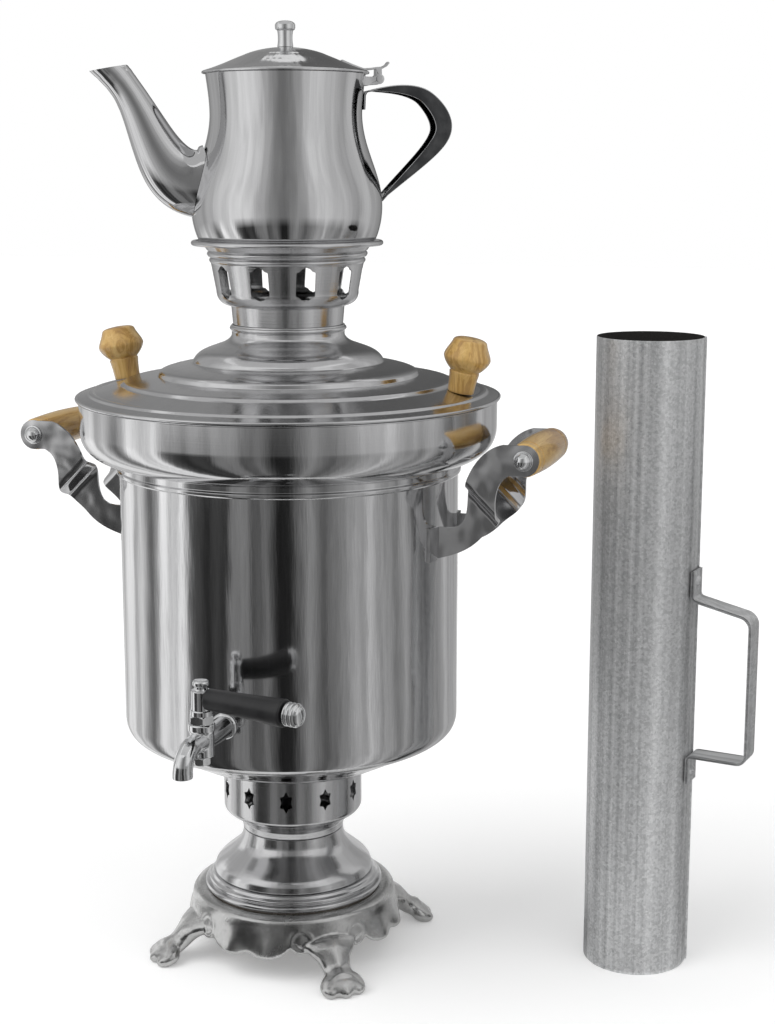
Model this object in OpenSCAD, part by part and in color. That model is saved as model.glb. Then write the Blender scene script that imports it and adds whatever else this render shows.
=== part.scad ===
// Charcoal-fired hot water urn with its crown, teapot and lift-off draught pipe.
// Millimetres, +Z up. The origin is on the urn's axis at the level it stands on; the tap points to -Y.

/* [Tank and bowl] */
// Outer radius of the tank
tank_r = 125; // [112:0.5:140]
// Height of the tank from its neck to the bowl
tank_h = 235; // [196:1:282]
// Height of the tank's rounded bottom
tank_dish = 42; // [36:1:50]
// Sheet thickness of the tank, bowl and lid
sheet = 1; // [0.8:0.1:1.4]
// Outer radius of the bowl above the tank
bowl_r = 153; // [148:0.5:165]
// Height of the bowl from its seam to its rim
bowl_h = 47; // [40:1:56]
// Height of the seam ring that joins the bowl to the tank
seam_h = 9; // [6:0.5:12]

/* [Lid] */
// How far the lid's rim reaches past the bowl's wall
lid_over = 2.5; // [2:0.5:3]
// Rise of the lid's outer cone
lid_cone_h = 16; // [12:1:20]
// Height of the lid's bell above its outer cone
lid_bell_h = 24; // [20:1:29]
// Height of the neck ring on top of the lid
lid_neck_h = 12; // [9:0.5:15]
// Radius at which the two lid knobs stand
knob_pitch = 131.5; // [120:0.5:140]
// Height of a lid knob
knob_h = 40; // [33:1:48]
// Greatest radius of a lid knob
knob_r = 16.8; // [13:0.1:19]
// Outward lean of the lid knobs in degrees
knob_lean = 11; // [6:1:15]

/* [Neck, stem and base] */
// Outer radius of the pierced neck band
neck_r = 52.5; // [49:0.5:58]
// Height of the pierced neck band
neck_band_h = 31; // [26:1:37]
// Height of the curve under the neck band
neck_curve_h = 19; // [16:1:23]
// Outer radius of the waist between neck and stem
waist_r = 38.2; // [35:0.1:42]
// Number of star-shaped draught holes
star_count = 11; // [8:1:12]
// Height of a star hole
star_h = 17; // [14:0.5:21]
// Width of a star hole
star_w = 11; // [9:0.5:14]
// Height of the flared stem shell
stem_h = 35; // [30:1:42]
// Radius of the stem shell's rolled foot
stem_r = 60.5; // [56:0.5:64]
// Outer radius of the ring between stem and base casting
ring_r = 68; // [66:0.5:70]
// Height of that ring
ring_h = 11; // [9:0.5:13]
// Height of the base casting's top above the floor
base_h = 48; // [42:1:58]
// Radius of the casting's shoulder
base_r = 78; // [75:0.5:84]
// Radius at the lower edge of the casting's apron
apron_r = 83; // [80:0.5:90]
// Wall thickness of the casting
cast_wall = 3.5; // [2.5:0.5:5]
// Reach of the feet from the axis to the toe tips
foot_reach = 117; // [110:1:128]
// Angle of the first foot from the tap in degrees
foot_turn = 41.5; // [35:0.5:55]

/* [Fire and flue] */
// Outer radius of the firebox at its foot
fire_r = 48.5; // [45:0.5:50]
// Outer radius of the flue
flue_r = 35.5; // [30:0.5:36.5]
// Height of the firebox below the flue
fire_h = 180; // [140:1:200]
// Wall thickness of the firebox and flue
fire_wall = 1.2; // [1:0.1:2]
// How far the flue stands above the lid's neck
flue_up = 12; // [6:1:14]
// Thickness of the fire grate
grate_t = 5; // [4:0.5:7]

/* [Crown] */
// Outer radius of the crown's top flange
crown_r = 69.5; // [66:0.5:76]
// Height of the crown above the lid's neck
crown_h = 60; // [52:1:70]
// Radius of the crown's wall at mid height
crown_wall_r = 54; // [52:0.5:57]
// Number of windows in the crown
window_count = 10; // [8:1:11]
// Width of a window
window_w = 14; // [11:0.5:16]
// Height of a window
window_h = 24; // [18:0.5:25]
// Sheet thickness of the crown and the teapot
thin = 0.8; // [0.6:0.1:1]

/* [Draught pipe] */
// Outer radius of the draught pipe
pipe_r = 38.5; // [37.5:0.5:39.5]
// Length of the draught pipe
pipe_h = 472; // [395:1:560]
// Sheet thickness of the pipe
pipe_sheet = 0.6; // [0.5:0.1:1]
// Radial room of the pipe in the lid's neck
pipe_clear = 1.7; // [0.8:0.1:2.5]
// Sideways place of the pipe beside the urn
pipe_x = 256; // [250:1:290]
// Place of the pipe from front to back
pipe_y = 58; // [50:1:80]
// Reach of the pipe's strap handle
pipe_grip_reach = 46; // [36:1:54]

/* [Side handles] */
// Distance of the grips from the urn's axis
grip_x = 189.5; // [184:0.5:198]
// Height of the grips below the bowl's rim
grip_drop = 33.5; // [30:0.5:40]
// Distance between the two brackets at the grip
grip_span = 82; // [70:1:92]
// Greatest radius of a wooden grip
grip_r = 13; // [11:0.5:14]
// Radius of the rod through a grip
rod_r = 3; // [2.5:0.5:4]
// Plate thickness of the brackets
plate = 2; // [1.5:0.5:3]
// Sideways set of the brackets' feet from their eyes
jog = 16; // [10:1:20]

/* [Tap] */
// Height of the tap above the tank's neck
tap_up = 65; // [58:1:80]
// Distance of the tap's plug from the tank wall
plug_out = 37; // [33:1:44]
// Distance of the spout's mouth from the plug
spout_out = 31; // [26:1:36]
// Radius of the water way through the tap
way_r = 3.5; // [3:0.5:4]
// Radius of the bore at the spout's mouth
mouth_r = 4.5; // [4:0.5:5]
// Length of the lever from the plug to the knob's middle
lever_len = 77.5; // [70:0.5:92]
// Angle of the closed lever forward of square in degrees
lever_turn = 12; // [0:1:20]
// Radial running clearance of the plug
plug_clear = 0.05; // [0.03:0.01:0.08]

/* [Teapot] */
// Height of the teapot's body
pot_h = 119; // [100:1:140]
// Greatest radius of the teapot's body
pot_r = 68.7; // [62:0.1:74]
// Radius of the teapot's foot
pot_foot_r = 63.5; // [58:0.5:66]
// Radius of the teapot's mouth
pot_mouth_r = 57; // [52:0.5:60]
// Height of the teapot's lid
pot_lid_h = 18.5; // [14:0.5:22]
// Distance of the lid hinge from the pot's axis
pot_hinge_x = 67; // [65:0.5:72]
// Reach of the teapot's handle
pot_handle_reach = 120; // [112:1:135]
// Width of the teapot's handle strap
pot_strap_w = 20; // [14:1:24]
// Reach of the spout's tip
pot_spout_reach = 137; // [130:1:150]
// Turn of the teapot on the crown in degrees
pot_turn = 31; // [0:1:360]

/* [Hidden] */

$fn = 96;
eps = 0.01;
// Room between sheet pieces that lie against each other
seat = 0.1;

// Levels from the floor up
z_ring = base_h + thin;
z_stem = z_ring + ring_h;
z_waist = z_stem + stem_h;
z_neck = z_waist + neck_curve_h + neck_band_h;
z_wall = z_neck + tank_dish;
z_bowl = z_neck + tank_h;
z_rim = z_bowl + bowl_h;
z_cone = z_rim + lid_cone_h;
z_bell = z_cone + lid_bell_h;
z_throat = z_bell + lid_neck_h;
z_flue = z_throat + flue_up;
z_pot = z_throat + crown_h;
// Depth of the ledge in the crown's flange that the pot's foot stands in
pot_sink = 2.6;
z_tap = z_neck + tap_up;
z_grip = z_rim - grip_drop;

steel = [0.78, 0.78, 0.79];
cast = [0.66, 0.66, 0.67];
zinc = [0.6, 0.61, 0.62];
wood = [0.78, 0.55, 0.22];
iron = [0.25, 0.25, 0.26];

// Points of a circular arc, in degrees
function arc(c, r, from, to, n = 8) =
    [for (i = [0 : n]) let (a = from + (to - from) * i / n) c + r * [cos(a), sin(a)]];

// A point of a cubic curve
function cubic(p, q, r, s, t) = let (u = 1 - t)
    u * u * u * p + 3 * u * u * t * q + 3 * u * t * t * r + t * t * t * s;

// Points of a cubic curve; the first point is left out where it continues another
function curve(p, q, r, s, n = 10, first = 0) = [for (i = [first : n]) cubic(p, q, r, s, i / n)];

function side(p, q) = let (d = q - p) [d[1], -d[0]] / norm(d);

// An outline moved sideways by t, mitred at its corners
function shifted(pts, t) =
    [for (i = [0 : len(pts) - 1])
        let (b = side(pts[min(i, len(pts) - 2)], pts[min(i, len(pts) - 2) + 1]),
             a = i == 0 ? b : side(pts[i - 1], pts[i]),
             m = (a + b) / norm(a + b))
        pts[i] + m * t / max(0.5, m * a)];

// The same with its own distance at each point
function shifted_each(pts, ts) =
    [for (i = [0 : len(pts) - 1]) shifted(pts, ts[i])[i]];

function reversed(pts) = [for (i = [len(pts) - 1 : -1 : 0]) pts[i]];

// A band of thickness t on the inner side of an outline
module band(pts, t) {
    polygon(concat(pts, reversed(shifted(pts, -t))));
}

// A sheet shell turned about the axis from its outer outline, given from bottom to top
module shell(pts, t, facets = 96) {
    rotate_extrude($fn = facets) band(pts, t);
}

module ring(r_out, r_in, h) {
    difference() {
        cylinder(r = r_out, h = h);
        translate([0, 0, -eps]) cylinder(r = r_in, h = h + 2 * eps);
    }
}

module hexagon(across, h) {
    cylinder(r = across / sqrt(3), h = h, $fn = 6);
}

// Repeats its children count times about the axis
module around(count, start = 0) {
    for (i = [0 : count - 1]) rotate(start + i * 360 / count) children();
}

// Base casting: shoulder, scalloped apron and four paw feet

screw_pitch = ring_r - 9;
screw_r = 2;
screw_hole_r = screw_r + 0.2;
apron_low = base_h - 29;
scallop_z = base_h - 17;
lobe_r = scallop_z - apron_low;
// Turn of the apron's two lobes and of the rosettes from the middle between them
lobe_turn = 12;
rosette_turn = 15;
// A leg's stations from the apron to the ankle: reach, height, radius and half spread to the sides
leg_way = [
    [apron_r - 7, base_h - 21, 7, 15],
    [apron_r + 3, base_h - 27, 6.6, 9],
    [foot_reach - 25, 14.5, 6.4, 3],
    [foot_reach - 17, 10, 6.2, 4.6]
];
toe_r = 7;
toe_spread = 11.5;

module at_screws() {
    around(4, foot_turn - 45) translate([screw_pitch, 0, 0]) children();
}

module leg_station(p) {
    for (s = [-1, 1]) translate([p[0], s * p[3], p[1]]) sphere(r = p[2], $fn = 10);
}

module leg() {
    for (i = [0 : len(leg_way) - 2]) hull() {
        leg_station(leg_way[i]);
        leg_station(leg_way[i + 1]);
    }
    for (s = [-1, 0, 1]) hull() {
        leg_station(leg_way[3]);
        translate([foot_reach - toe_r - 4 * abs(s), s * toe_spread, 5.5]) sphere(r = toe_r, $fn = 10);
    }
}

function apron_outline() = concat(
    curve([apron_r, apron_low - 1], [apron_r, base_h - 20], [base_r + 1, base_h - 16],
        [base_r, base_h - 8], 3),
    curve([base_r, base_h - 8], [base_r, base_h - 3], [base_r - 2, base_h], [base_r - 6, base_h], 3, 1),
    [[screw_pitch - 5, base_h]]
);

module scallops() {
    translate([0, 0, scallop_z]) cylinder(r = apron_r + 10, h = base_h);
    around(4, foot_turn - 45) for (s = [-1, 1]) rotate(s * lobe_turn) translate([0, 0, scallop_z])
        rotate([0, 90, 0]) cylinder(r = lobe_r, h = apron_r + 10, $fn = 24);
}

module base_casting() {
    color(cast) difference() {
        union() {
            intersection() {
                union() {
                    shell(apron_outline(), cast_wall, 48);
                    around(4, foot_turn - 45) for (s = [-1, 1]) rotate(s * lobe_turn)
                        translate([apron_r - 2.5, 0, scallop_z]) scale([0.32, 1, 1.25])
                            sphere(r = lobe_r - 1, $fn = 12);
                }
                scallops();
            }
            around(4, foot_turn - 90) {
                leg();
                for (s = [-1, 1]) rotate(s * rosette_turn) translate([base_r + 1.2, 0, base_h - 15])
                    rotate([0, 82, 0]) {
                        cylinder(r1 = 7, r2 = 5.6, h = 2.4, $fn = 14);
                        cylinder(r1 = 3, r2 = 1.4, h = 4, $fn = 8);
                    }
            }
        }
        translate([0, 0, -20]) cylinder(r = foot_reach + 20, h = 20, $fn = 12);
        translate([0, 0, -eps]) cylinder(r = base_r - cast_wall - 3, h = base_h - cast_wall, $fn = 48);
        at_screws() cylinder(r = screw_hole_r, h = base_h + 1, $fn = 12);
    }
}

module base_screws() {
    color(steel) at_screws() {
        translate([0, 0, base_h - cast_wall - 2.6]) cylinder(r = 3.8, h = 2.6);
        translate([0, 0, base_h - cast_wall - eps]) cylinder(r = screw_r, h = cast_wall + thin + 6);
    }
}

module base_nuts() {
    color(steel) at_screws() translate([0, 0, z_ring + sheet]) difference() {
        hexagon(6.6, 3);
        translate([0, 0, -eps]) cylinder(r = screw_r + 0.05, h = 4);
    }
}

module ash_pan() {
    pan_r = screw_pitch - 5 - 0.3;
    pts = [[0, base_h - 12], [pan_r - 6, base_h - 12], [pan_r, base_h], [ring_r - 1.5, base_h]];
    color(iron) difference() {
        rotate_extrude() polygon(concat(pts, reversed(shifted(pts, -thin))));
        at_screws() translate([0, 0, base_h - 5]) cylinder(r = screw_hole_r, h = 10);
    }
}

module base_ring() {
    foot = [[screw_pitch - 5, z_ring], [ring_r - 1.2, z_ring]];
    wall = concat(
        arc([ring_r - 2.2, z_ring + 2.2], 2.2, -60, 60, 6),
        [[ring_r - 3.6, z_ring + 4.6]],
        arc([ring_r - 4.6, z_ring + 6.4], 1.6, -50, 70, 5),
        curve([ring_r - 5, z_ring + 8.4], [ring_r - 6, z_ring + 9.4], [stem_r + 2, z_stem],
            [stem_r - 1, z_stem], 4, 1),
        [[stem_r - 6, z_stem]]
    );
    color(steel) difference() {
        rotate_extrude() polygon(concat(foot, wall, reversed(shifted(wall, -sheet)),
            [[ring_r - 3, z_ring + sheet], [screw_pitch - 5, z_ring + sheet]]));
        at_screws() translate([0, 0, z_ring - 1]) cylinder(r = screw_hole_r, h = 4);
    }
}

// Stem shell and the pierced neck band

collar_r = waist_r - sheet - seat;

module stem_shell() {
    pts = concat(
        arc([stem_r - 1.5, z_stem + 1.6], 1.5, -90, 30, 5),
        curve([stem_r - 0.4, z_stem + 3.4], [stem_r - 1, z_stem + 9], [waist_r + 14, z_stem + 13],
            [waist_r + 6, z_stem + 20], 8),
        curve([waist_r + 6, z_stem + 20], [waist_r + 2, z_stem + 24], [waist_r, z_stem + 28],
            [waist_r, z_waist - 1], 6, 1),
        [[collar_r, z_waist - 0.6], [collar_r, z_waist + 7]]
    );
    color(steel) shell(pts, sheet);
}

// Six points on an upright star, with rounded-off hollows between them
function star(w, h) =
    [for (i = [0 : 11]) let (a = i * 30, k = i % 2 == 0 ? 1 : 0.66) [w / 2 * k * sin(a), h / 2 * k * cos(a)]];

module neck_band() {
    z_band = z_waist + neck_curve_h;
    pts = concat(
        [[waist_r, z_waist], [waist_r + 1.2, z_waist + 5]],
        curve([waist_r + 1.2, z_waist + 5], [waist_r + 4, z_waist + 12], [neck_r, z_waist + 12],
            [neck_r, z_band], 8, 1),
        [[neck_r, z_neck - 0.6], [neck_r - 0.6, z_neck], [fire_r - 6, z_neck]]
    );
    color(steel) difference() {
        shell(pts, sheet);
        around(star_count, 180 / star_count - 90) translate([neck_r - 6, 0, z_neck - neck_band_h * 0.5])
            rotate([90, 0, 90]) linear_extrude(height = 12) polygon(star(star_w, star_h));
    }
}

// Fire grate, firebox with flue, tank and bowl

module fire_grate() {
    grate_r = fire_r - fire_wall - 0.8;
    slot_w = 5;
    slot_gap = 10;
    color(iron) difference() {
        translate([0, 0, z_neck]) cylinder(r = grate_r, h = grate_t);
        for (i = [-3 : 3]) {
            half = sqrt(pow(grate_r - 6, 2) - pow(abs(i) * slot_gap + slot_w / 2, 2));
            translate([i * slot_gap - slot_w / 2, -half, z_neck - 1]) cube([slot_w, 2 * half, grate_t + 2]);
        }
    }
}

module firebox() {
    z_top = z_neck + fire_h;
    pts = concat(
        [[fire_r, z_neck + seat], [fire_r - 1.5, z_neck + fire_h * 0.35]],
        curve([fire_r - 1.5, z_neck + fire_h * 0.35], [fire_r - 3, z_neck + fire_h * 0.65],
            [flue_r, z_neck + fire_h * 0.72], [flue_r, z_top], 10, 1),
        [[flue_r, z_flue]]
    );
    color(iron) shell(pts, fire_wall);
}

tap_hole_r = 6.2;

module tank() {
    knee = [tank_r - 19, z_neck + tank_dish * 0.55];
    ridge = [knee[0] - 24, z_neck + tank_dish * 0.27];
    pts = concat(
        [[fire_r + seat, z_neck + seat], [neck_r - 1, z_neck + seat]],
        curve([neck_r - 1, z_neck + seat], [neck_r + 4, z_neck + 1], [neck_r + 6, z_neck + 4.6],
            ridge - [9, 4.6], 6, 1),
        curve(ridge - [9, 4.6], ridge - [4, 3.2], ridge - [1.5, 1.6], ridge, 4, 1),
        curve(ridge, ridge + [7, 1.6], knee - [10, 4], knee, 4, 1),
        curve(knee, knee + [10, 4], [tank_r, z_wall - 13], [tank_r, z_wall], 8, 1),
        [[tank_r, z_bowl]]
    );
    color(steel) difference() {
        shell(pts, sheet);
        translate([0, 0, z_tap]) rotate([90, 0, 0]) cylinder(r = tap_hole_r, h = tank_r + 10);
    }
}

lid_r = bowl_r + lid_over;
bead_r = 1.1;
bell_foot_r = 95;
cone_slope = lid_cone_h / (lid_r - bell_foot_r);
// Height of the lid's outer cone over its rim at radius r
function cone_z(r) = z_rim + cone_slope * (lid_r - r);

// The lid's rolled edge, which rests on the bowl's bead
curl_r = 1.2;
curl_at = lid_r - curl_r;
curl_z = cone_z(curl_at) - 0.9;

module bowl() {
    lip_r = tank_r + seat + sheet;
    bead_at = bowl_r - sheet + bead_r;
    bead_z = curl_z - sqrt(pow(curl_r + bead_r + 0.3, 2) - pow(curl_at - bead_at, 2));
    pts = concat(
        [[lip_r, z_bowl - seam_h], [lip_r + 0.9, z_bowl - seam_h + 1.2], [lip_r + 0.9, z_bowl - seam_h + 3.2],
            [lip_r, z_bowl - seam_h + 4.4], [lip_r, z_bowl - 0.5]],
        curve([lip_r + 0.5, z_bowl], [lip_r + 15, z_bowl + 2], [bowl_r, z_bowl + 9],
            [bowl_r, z_bowl + 25], 10),
        [[bowl_r, bead_z]]
    );
    color(steel) rotate_extrude() {
        band(pts, sheet);
        translate([bead_at, bead_z]) circle(r = bead_r);
    }
}

// Side handles: four brackets, two turned grips, two rods and their domed nuts

eye_r = 11;
rod_hole_r = rod_r + 0.2;
foot_top = -53;
foot_low = -77;
foot_y = grip_span / 2 - jog;
foot_x = sqrt(tank_r * tank_r - foot_y * foot_y);

// Outline of a bracket seen from the front: x runs from the eye towards the tank
function bracket_outline(run) = concat(
    arc([0, 0], eye_r, 75, 285, 14),
    curve([9, -10.5], [15, -13], [19, -18], [19.8, -30], 6),
    curve([19.8, -44], [20.5, -50], [27, -52], [34, -59], 5),
    curve([34, -59], [42, -68], [52, -73], [run, foot_low], 6, 1),
    [[run, foot_top]],
    curve([57, foot_top], [47, -52], [44.5, -46], [44, -32], 6),
    curve([44, -32], [43.5, -18], [34, 6], [15, 10.4], 8, 1)
);

// Two flat planes joined across a diagonal fold, seen along the fold, with the foot's plane on the left
module folded_strip() {
    fold = 3.4;
    slant = plate * 0.8;
    reach = 140;
    eye_y = -grip_span / 2;
    polygon([
        [-reach, -foot_y], [-fold / 2, -foot_y], [fold / 2 + slant, eye_y], [reach, eye_y],
        [reach, eye_y - plate], [fold / 2, eye_y - plate],
        [-fold / 2 - slant, -foot_y - plate], [-reach, -foot_y - plate]
    ]);
}

// Right front bracket
module bracket() {
    fold_at = 31.9;
    run = grip_x - foot_x + 4;
    color(steel) difference() {
        union() {
            intersection() {
                translate([grip_x, 0, z_grip]) mirror([1, 0, 0]) rotate([90, 0, 0])
                    linear_extrude(height = grip_span) polygon(bracket_outline(run));
                translate([grip_x - fold_at, 0, z_grip - fold_at]) rotate([0, -45, 0])
                    translate([0, 0, -100]) linear_extrude(height = 200) folded_strip();
            }
            intersection() {
                translate([0, 0, z_grip + foot_low])
                    ring(tank_r + seat + plate, tank_r + seat, foot_top - foot_low);
                translate([foot_x - 12, -foot_y - 13, z_grip + foot_low]) cube([24, 13, foot_top - foot_low]);
            }
        }
        translate([0, 0, z_grip - 100]) cylinder(r = tank_r + seat, h = 200);
        translate([grip_x, 0, z_grip]) rotate([90, 0, 0]) cylinder(r = rod_hole_r, h = 100);
    }
}

module bracket_right_front() bracket();
module bracket_right_rear() mirror([0, 1, 0]) bracket();
module bracket_left_front() mirror([1, 0, 0]) bracket();
module bracket_left_rear() mirror([1, 0, 0]) mirror([0, 1, 0]) bracket();

// A wooden grip along Y, swelling to its middle with a bead near each end
module grip() {
    half = grip_span / 2 - 0.3;
    end_r = grip_r - 1.2;
    edge = concat(
        [[rod_r + 0.3, -half], [end_r - 2, -half]],
        arc([end_r - 2, -half + 2], 2, -60, 0, 3),
        curve([end_r, -half + 2], [end_r + 0.4, -half + 12], [grip_r, -half * 0.45], [grip_r, 0], 8, 1),
        curve([grip_r, 0], [grip_r, half * 0.45], [end_r + 0.4, half - 12], [end_r, half - 2], 8, 1),
        arc([end_r - 2, half - 2], 2, 20, 90, 3),
        [[rod_r + 0.3, half]]
    );
    color(wood) translate([grip_x, 0, z_grip]) rotate([90, 0, 0]) rotate_extrude() polygon(edge);
}

module rod() {
    length = grip_span + 2 * plate + 9;
    color(steel) translate([grip_x, length / 2, z_grip]) rotate([90, 0, 0]) cylinder(r = rod_r, h = length);
}

module cap_nut() {
    nut_r = 6;
    difference() {
        rotate_extrude()
            polygon(concat([[0, 0], [nut_r + 1, 0], [nut_r + 1, 1.2]], arc([0, 1.2], nut_r, 0, 90, 12)));
        translate([0, 0, -eps]) cylinder(r = rod_r + 0.05, h = 5);
    }
}

module cap_nuts() {
    color(steel) for (s = [-1, 1]) translate([grip_x, s * (grip_span / 2 + plate), z_grip])
        rotate([-s * 90, 0, 0]) cap_nut();
}

module grip_right() grip();
module grip_left() mirror([1, 0, 0]) grip();
module rod_right() rod();
module rod_left() mirror([1, 0, 0]) rod();
module cap_nuts_right() cap_nuts();
module cap_nuts_left() mirror([1, 0, 0]) cap_nuts();

// Tap: body with shank and spout, taper plug, glands and lever; drawn about the plug's axis

plug_y = -tank_r - plug_out;
plug_top_r = 7;
plug_low_r = 5;
plug_top = 13.5;
plug_low = -10;
shank_r = 6;
barrel_r = 9.3;
gland_across = 15.4;
plug_stem_r = 6.8;
lever_z = 31;
lever_rod_r = 2.5;
rod_bore_r = lever_rod_r + 0.05;
tail_r = 2.5;

module at_plug() {
    translate([0, plug_y, z_tap]) children();
}

function plug_r_at(z) = plug_low_r + (plug_top_r - plug_low_r) * (z - plug_low) / (plug_top - plug_low);

module tap_body() {
    spout_bend = 15;
    arm_z = 1.6;
    mouth_z = arm_z - spout_bend - 2;
    spout_r = 6.6;
    spout_end_r = spout_r + 0.2;
    barrel_low_r = 8.3;
    arm_len = spout_out - spout_bend;
    color(steel) at_plug() difference() {
        union() {
            rotate_extrude() polygon([
                [0, plug_low], [barrel_low_r - 0.8, plug_low], [barrel_low_r, plug_low + 1],
                [barrel_low_r, 7], [barrel_r, 9], [barrel_r, plug_top - 0.6], [barrel_r - 0.6, plug_top],
                [0, plug_top]
            ]);
            rotate([-90, 0, 0]) cylinder(r = shank_r, h = plug_out + 12);
            rotate([-90, 0, 0]) cylinder(r1 = 7.2, r2 = 8.1, h = plug_out - 3.2);
            translate([0, -arm_len, arm_z - spout_bend]) rotate([90, 0, -90])
                rotate_extrude(angle = 90) translate([spout_bend, 0]) circle(r = spout_r);
            translate([0, -4, arm_z]) rotate([90, 0, 0])
                cylinder(r1 = 7.4, r2 = spout_end_r, h = arm_len - 3.4);
            translate([0, -spout_out, mouth_z]) cylinder(r = spout_end_r, h = 3);
        }
        translate([0, 0, plug_low - eps]) cylinder(
            r1 = plug_low_r + plug_clear, r2 = plug_top_r + plug_clear, h = plug_top - plug_low + 2 * eps);
        rotate([-90, 0, 0]) cylinder(r = way_r, h = plug_out + 20);
        translate([0, 0, arm_z]) rotate([90, 0, 0]) cylinder(r = way_r - 0.15, h = arm_len + 0.8);
        translate([0, -arm_len, arm_z - spout_bend]) rotate([90, 0, -90])
            rotate_extrude(angle = 90) translate([spout_bend, 0]) circle(r = way_r);
        translate([0, -spout_out, mouth_z - eps]) cylinder(r = mouth_r, h = 5);
    }
}

module tap_flange() {
    color(steel) translate([0, -tank_r - 0.4, z_tap]) rotate([90, 0, 0]) difference() {
        rotate_extrude() polygon([[shank_r + 0.1, 0], [9.4, 0], [9.6, 1], [8.4, 2.4], [shank_r + 0.1, 2.6]]);
        translate([0, 0, -tank_r]) rotate([90, 0, 0]) cylinder(r = tank_r + seat, h = 40, center = true);
    }
}

module tap_gasket() {
    color([0.12, 0.12, 0.12]) translate([0, -tank_r + sheet + 0.7, z_tap]) rotate([-90, 0, 0]) difference() {
        cylinder(r = 10, h = 2);
        translate([0, 0, -1]) cylinder(r = shank_r + 0.1, h = 4);
    }
}

module tap_locknut() {
    color([0.72, 0.6, 0.3]) translate([0, -tank_r + sheet + 2.7, z_tap]) rotate([-90, 0, 0]) difference() {
        hexagon(18, 4);
        translate([0, 0, -1]) cylinder(r = shank_r + 0.05, h = 6);
    }
}

module tap_gland_nut() {
    color(steel) at_plug() translate([0, 0, plug_top]) difference() {
        union() {
            hexagon(gland_across, 6);
            cylinder(r1 = gland_across / 2, r2 = plug_stem_r + 0.9, h = 9.6);
        }
        translate([0, 0, -eps]) cylinder(r = plug_stem_r + plug_clear, h = 12);
    }
}

module tap_plug() {
    cap_r = 5.6;
    stem_top = 36.6;
    color(steel) at_plug() difference() {
        union() {
            translate([0, 0, plug_low]) cylinder(r1 = plug_low_r, r2 = plug_top_r, h = plug_top - plug_low);
            translate([0, 0, plug_top - eps]) cylinder(r = plug_stem_r, h = stem_top - plug_top);
            translate([0, 0, plug_low - 5]) cylinder(r = tail_r, h = 6);
            translate([0, 0, stem_top - 1]) rotate_extrude() polygon(concat(
                [[0, 0], [cap_r - 0.8, 0], [cap_r - 1.4, 3.6], [cap_r, 4.6], [cap_r, 6]],
                arc([cap_r - 2, 6], 2, 0, 90, 5), [[0, 8.6]]
            ));
        }
        rotate([0, 90, 0]) cylinder(r = way_r, h = 30, center = true);
        rotate(-lever_turn) translate([0, 0, lever_z]) rotate([0, 90, 0])
            cylinder(r = rod_bore_r, h = 30, center = true);
    }
}

module tap_plug_nut() {
    color(steel) at_plug() translate([0, 0, plug_low - 5.4]) difference() {
        hexagon(10.4, 5.2);
        translate([0, 0, -1]) cylinder(r = tail_r + 0.05, h = 8);
    }
}

// The lever runs out from the stem and falls a little towards its knob
module along_lever() {
    at_plug() rotate(-lever_turn) translate([0, 0, lever_z]) rotate([0, 90, 0]) children();
}

module tap_lever_rod() {
    color(steel) along_lever() translate([0, 0, -6.5]) cylinder(r = lever_rod_r, h = lever_len + 3);
}

module tap_grip() {
    grip_from = 5.6;
    color([0.04, 0.04, 0.045]) along_lever() translate([0, 0, grip_from]) difference() {
        rotate_extrude() polygon(concat(
            [[rod_bore_r, 0], [6.8, 0], [7.4, 1]],
            curve([7.4, 1], [7.8, 25], [8.8, 45], [9.5, lever_len - grip_from - 10.4], 6, 1),
            [[8.7, lever_len - grip_from - 9], [rod_bore_r, lever_len - grip_from - 9]]
        ));
        translate([0, 0, -grip_from]) rotate([0, 90, 0])
            cylinder(r = plug_stem_r + 0.2, h = 30, center = true);
    }
}

module tap_end_knob() {
    ribs = 3;
    length = 12.6;
    color(steel) along_lever() translate([0, 0, lever_len - 8.7]) difference() {
        rotate_extrude() polygon(concat(
            [[0, 0], [6.6, 0]],
            [for (i = [0 : ribs - 1], k = [0 : 6]) [7.1 + 1.1 * sin(k * 30), 0.6 + (i + k / 6) * 3.2]],
            curve([6.8, 10.6], [6.6, 12], [4, length + 0.6], [0, length + 0.8], 5)
        ));
        translate([0, 0, -eps]) cylinder(r = rod_bore_r, h = 6);
    }
}

// Lid with its neck ring, two turned knobs and their screws

neck_in_r = pipe_r + pipe_clear;

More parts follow.
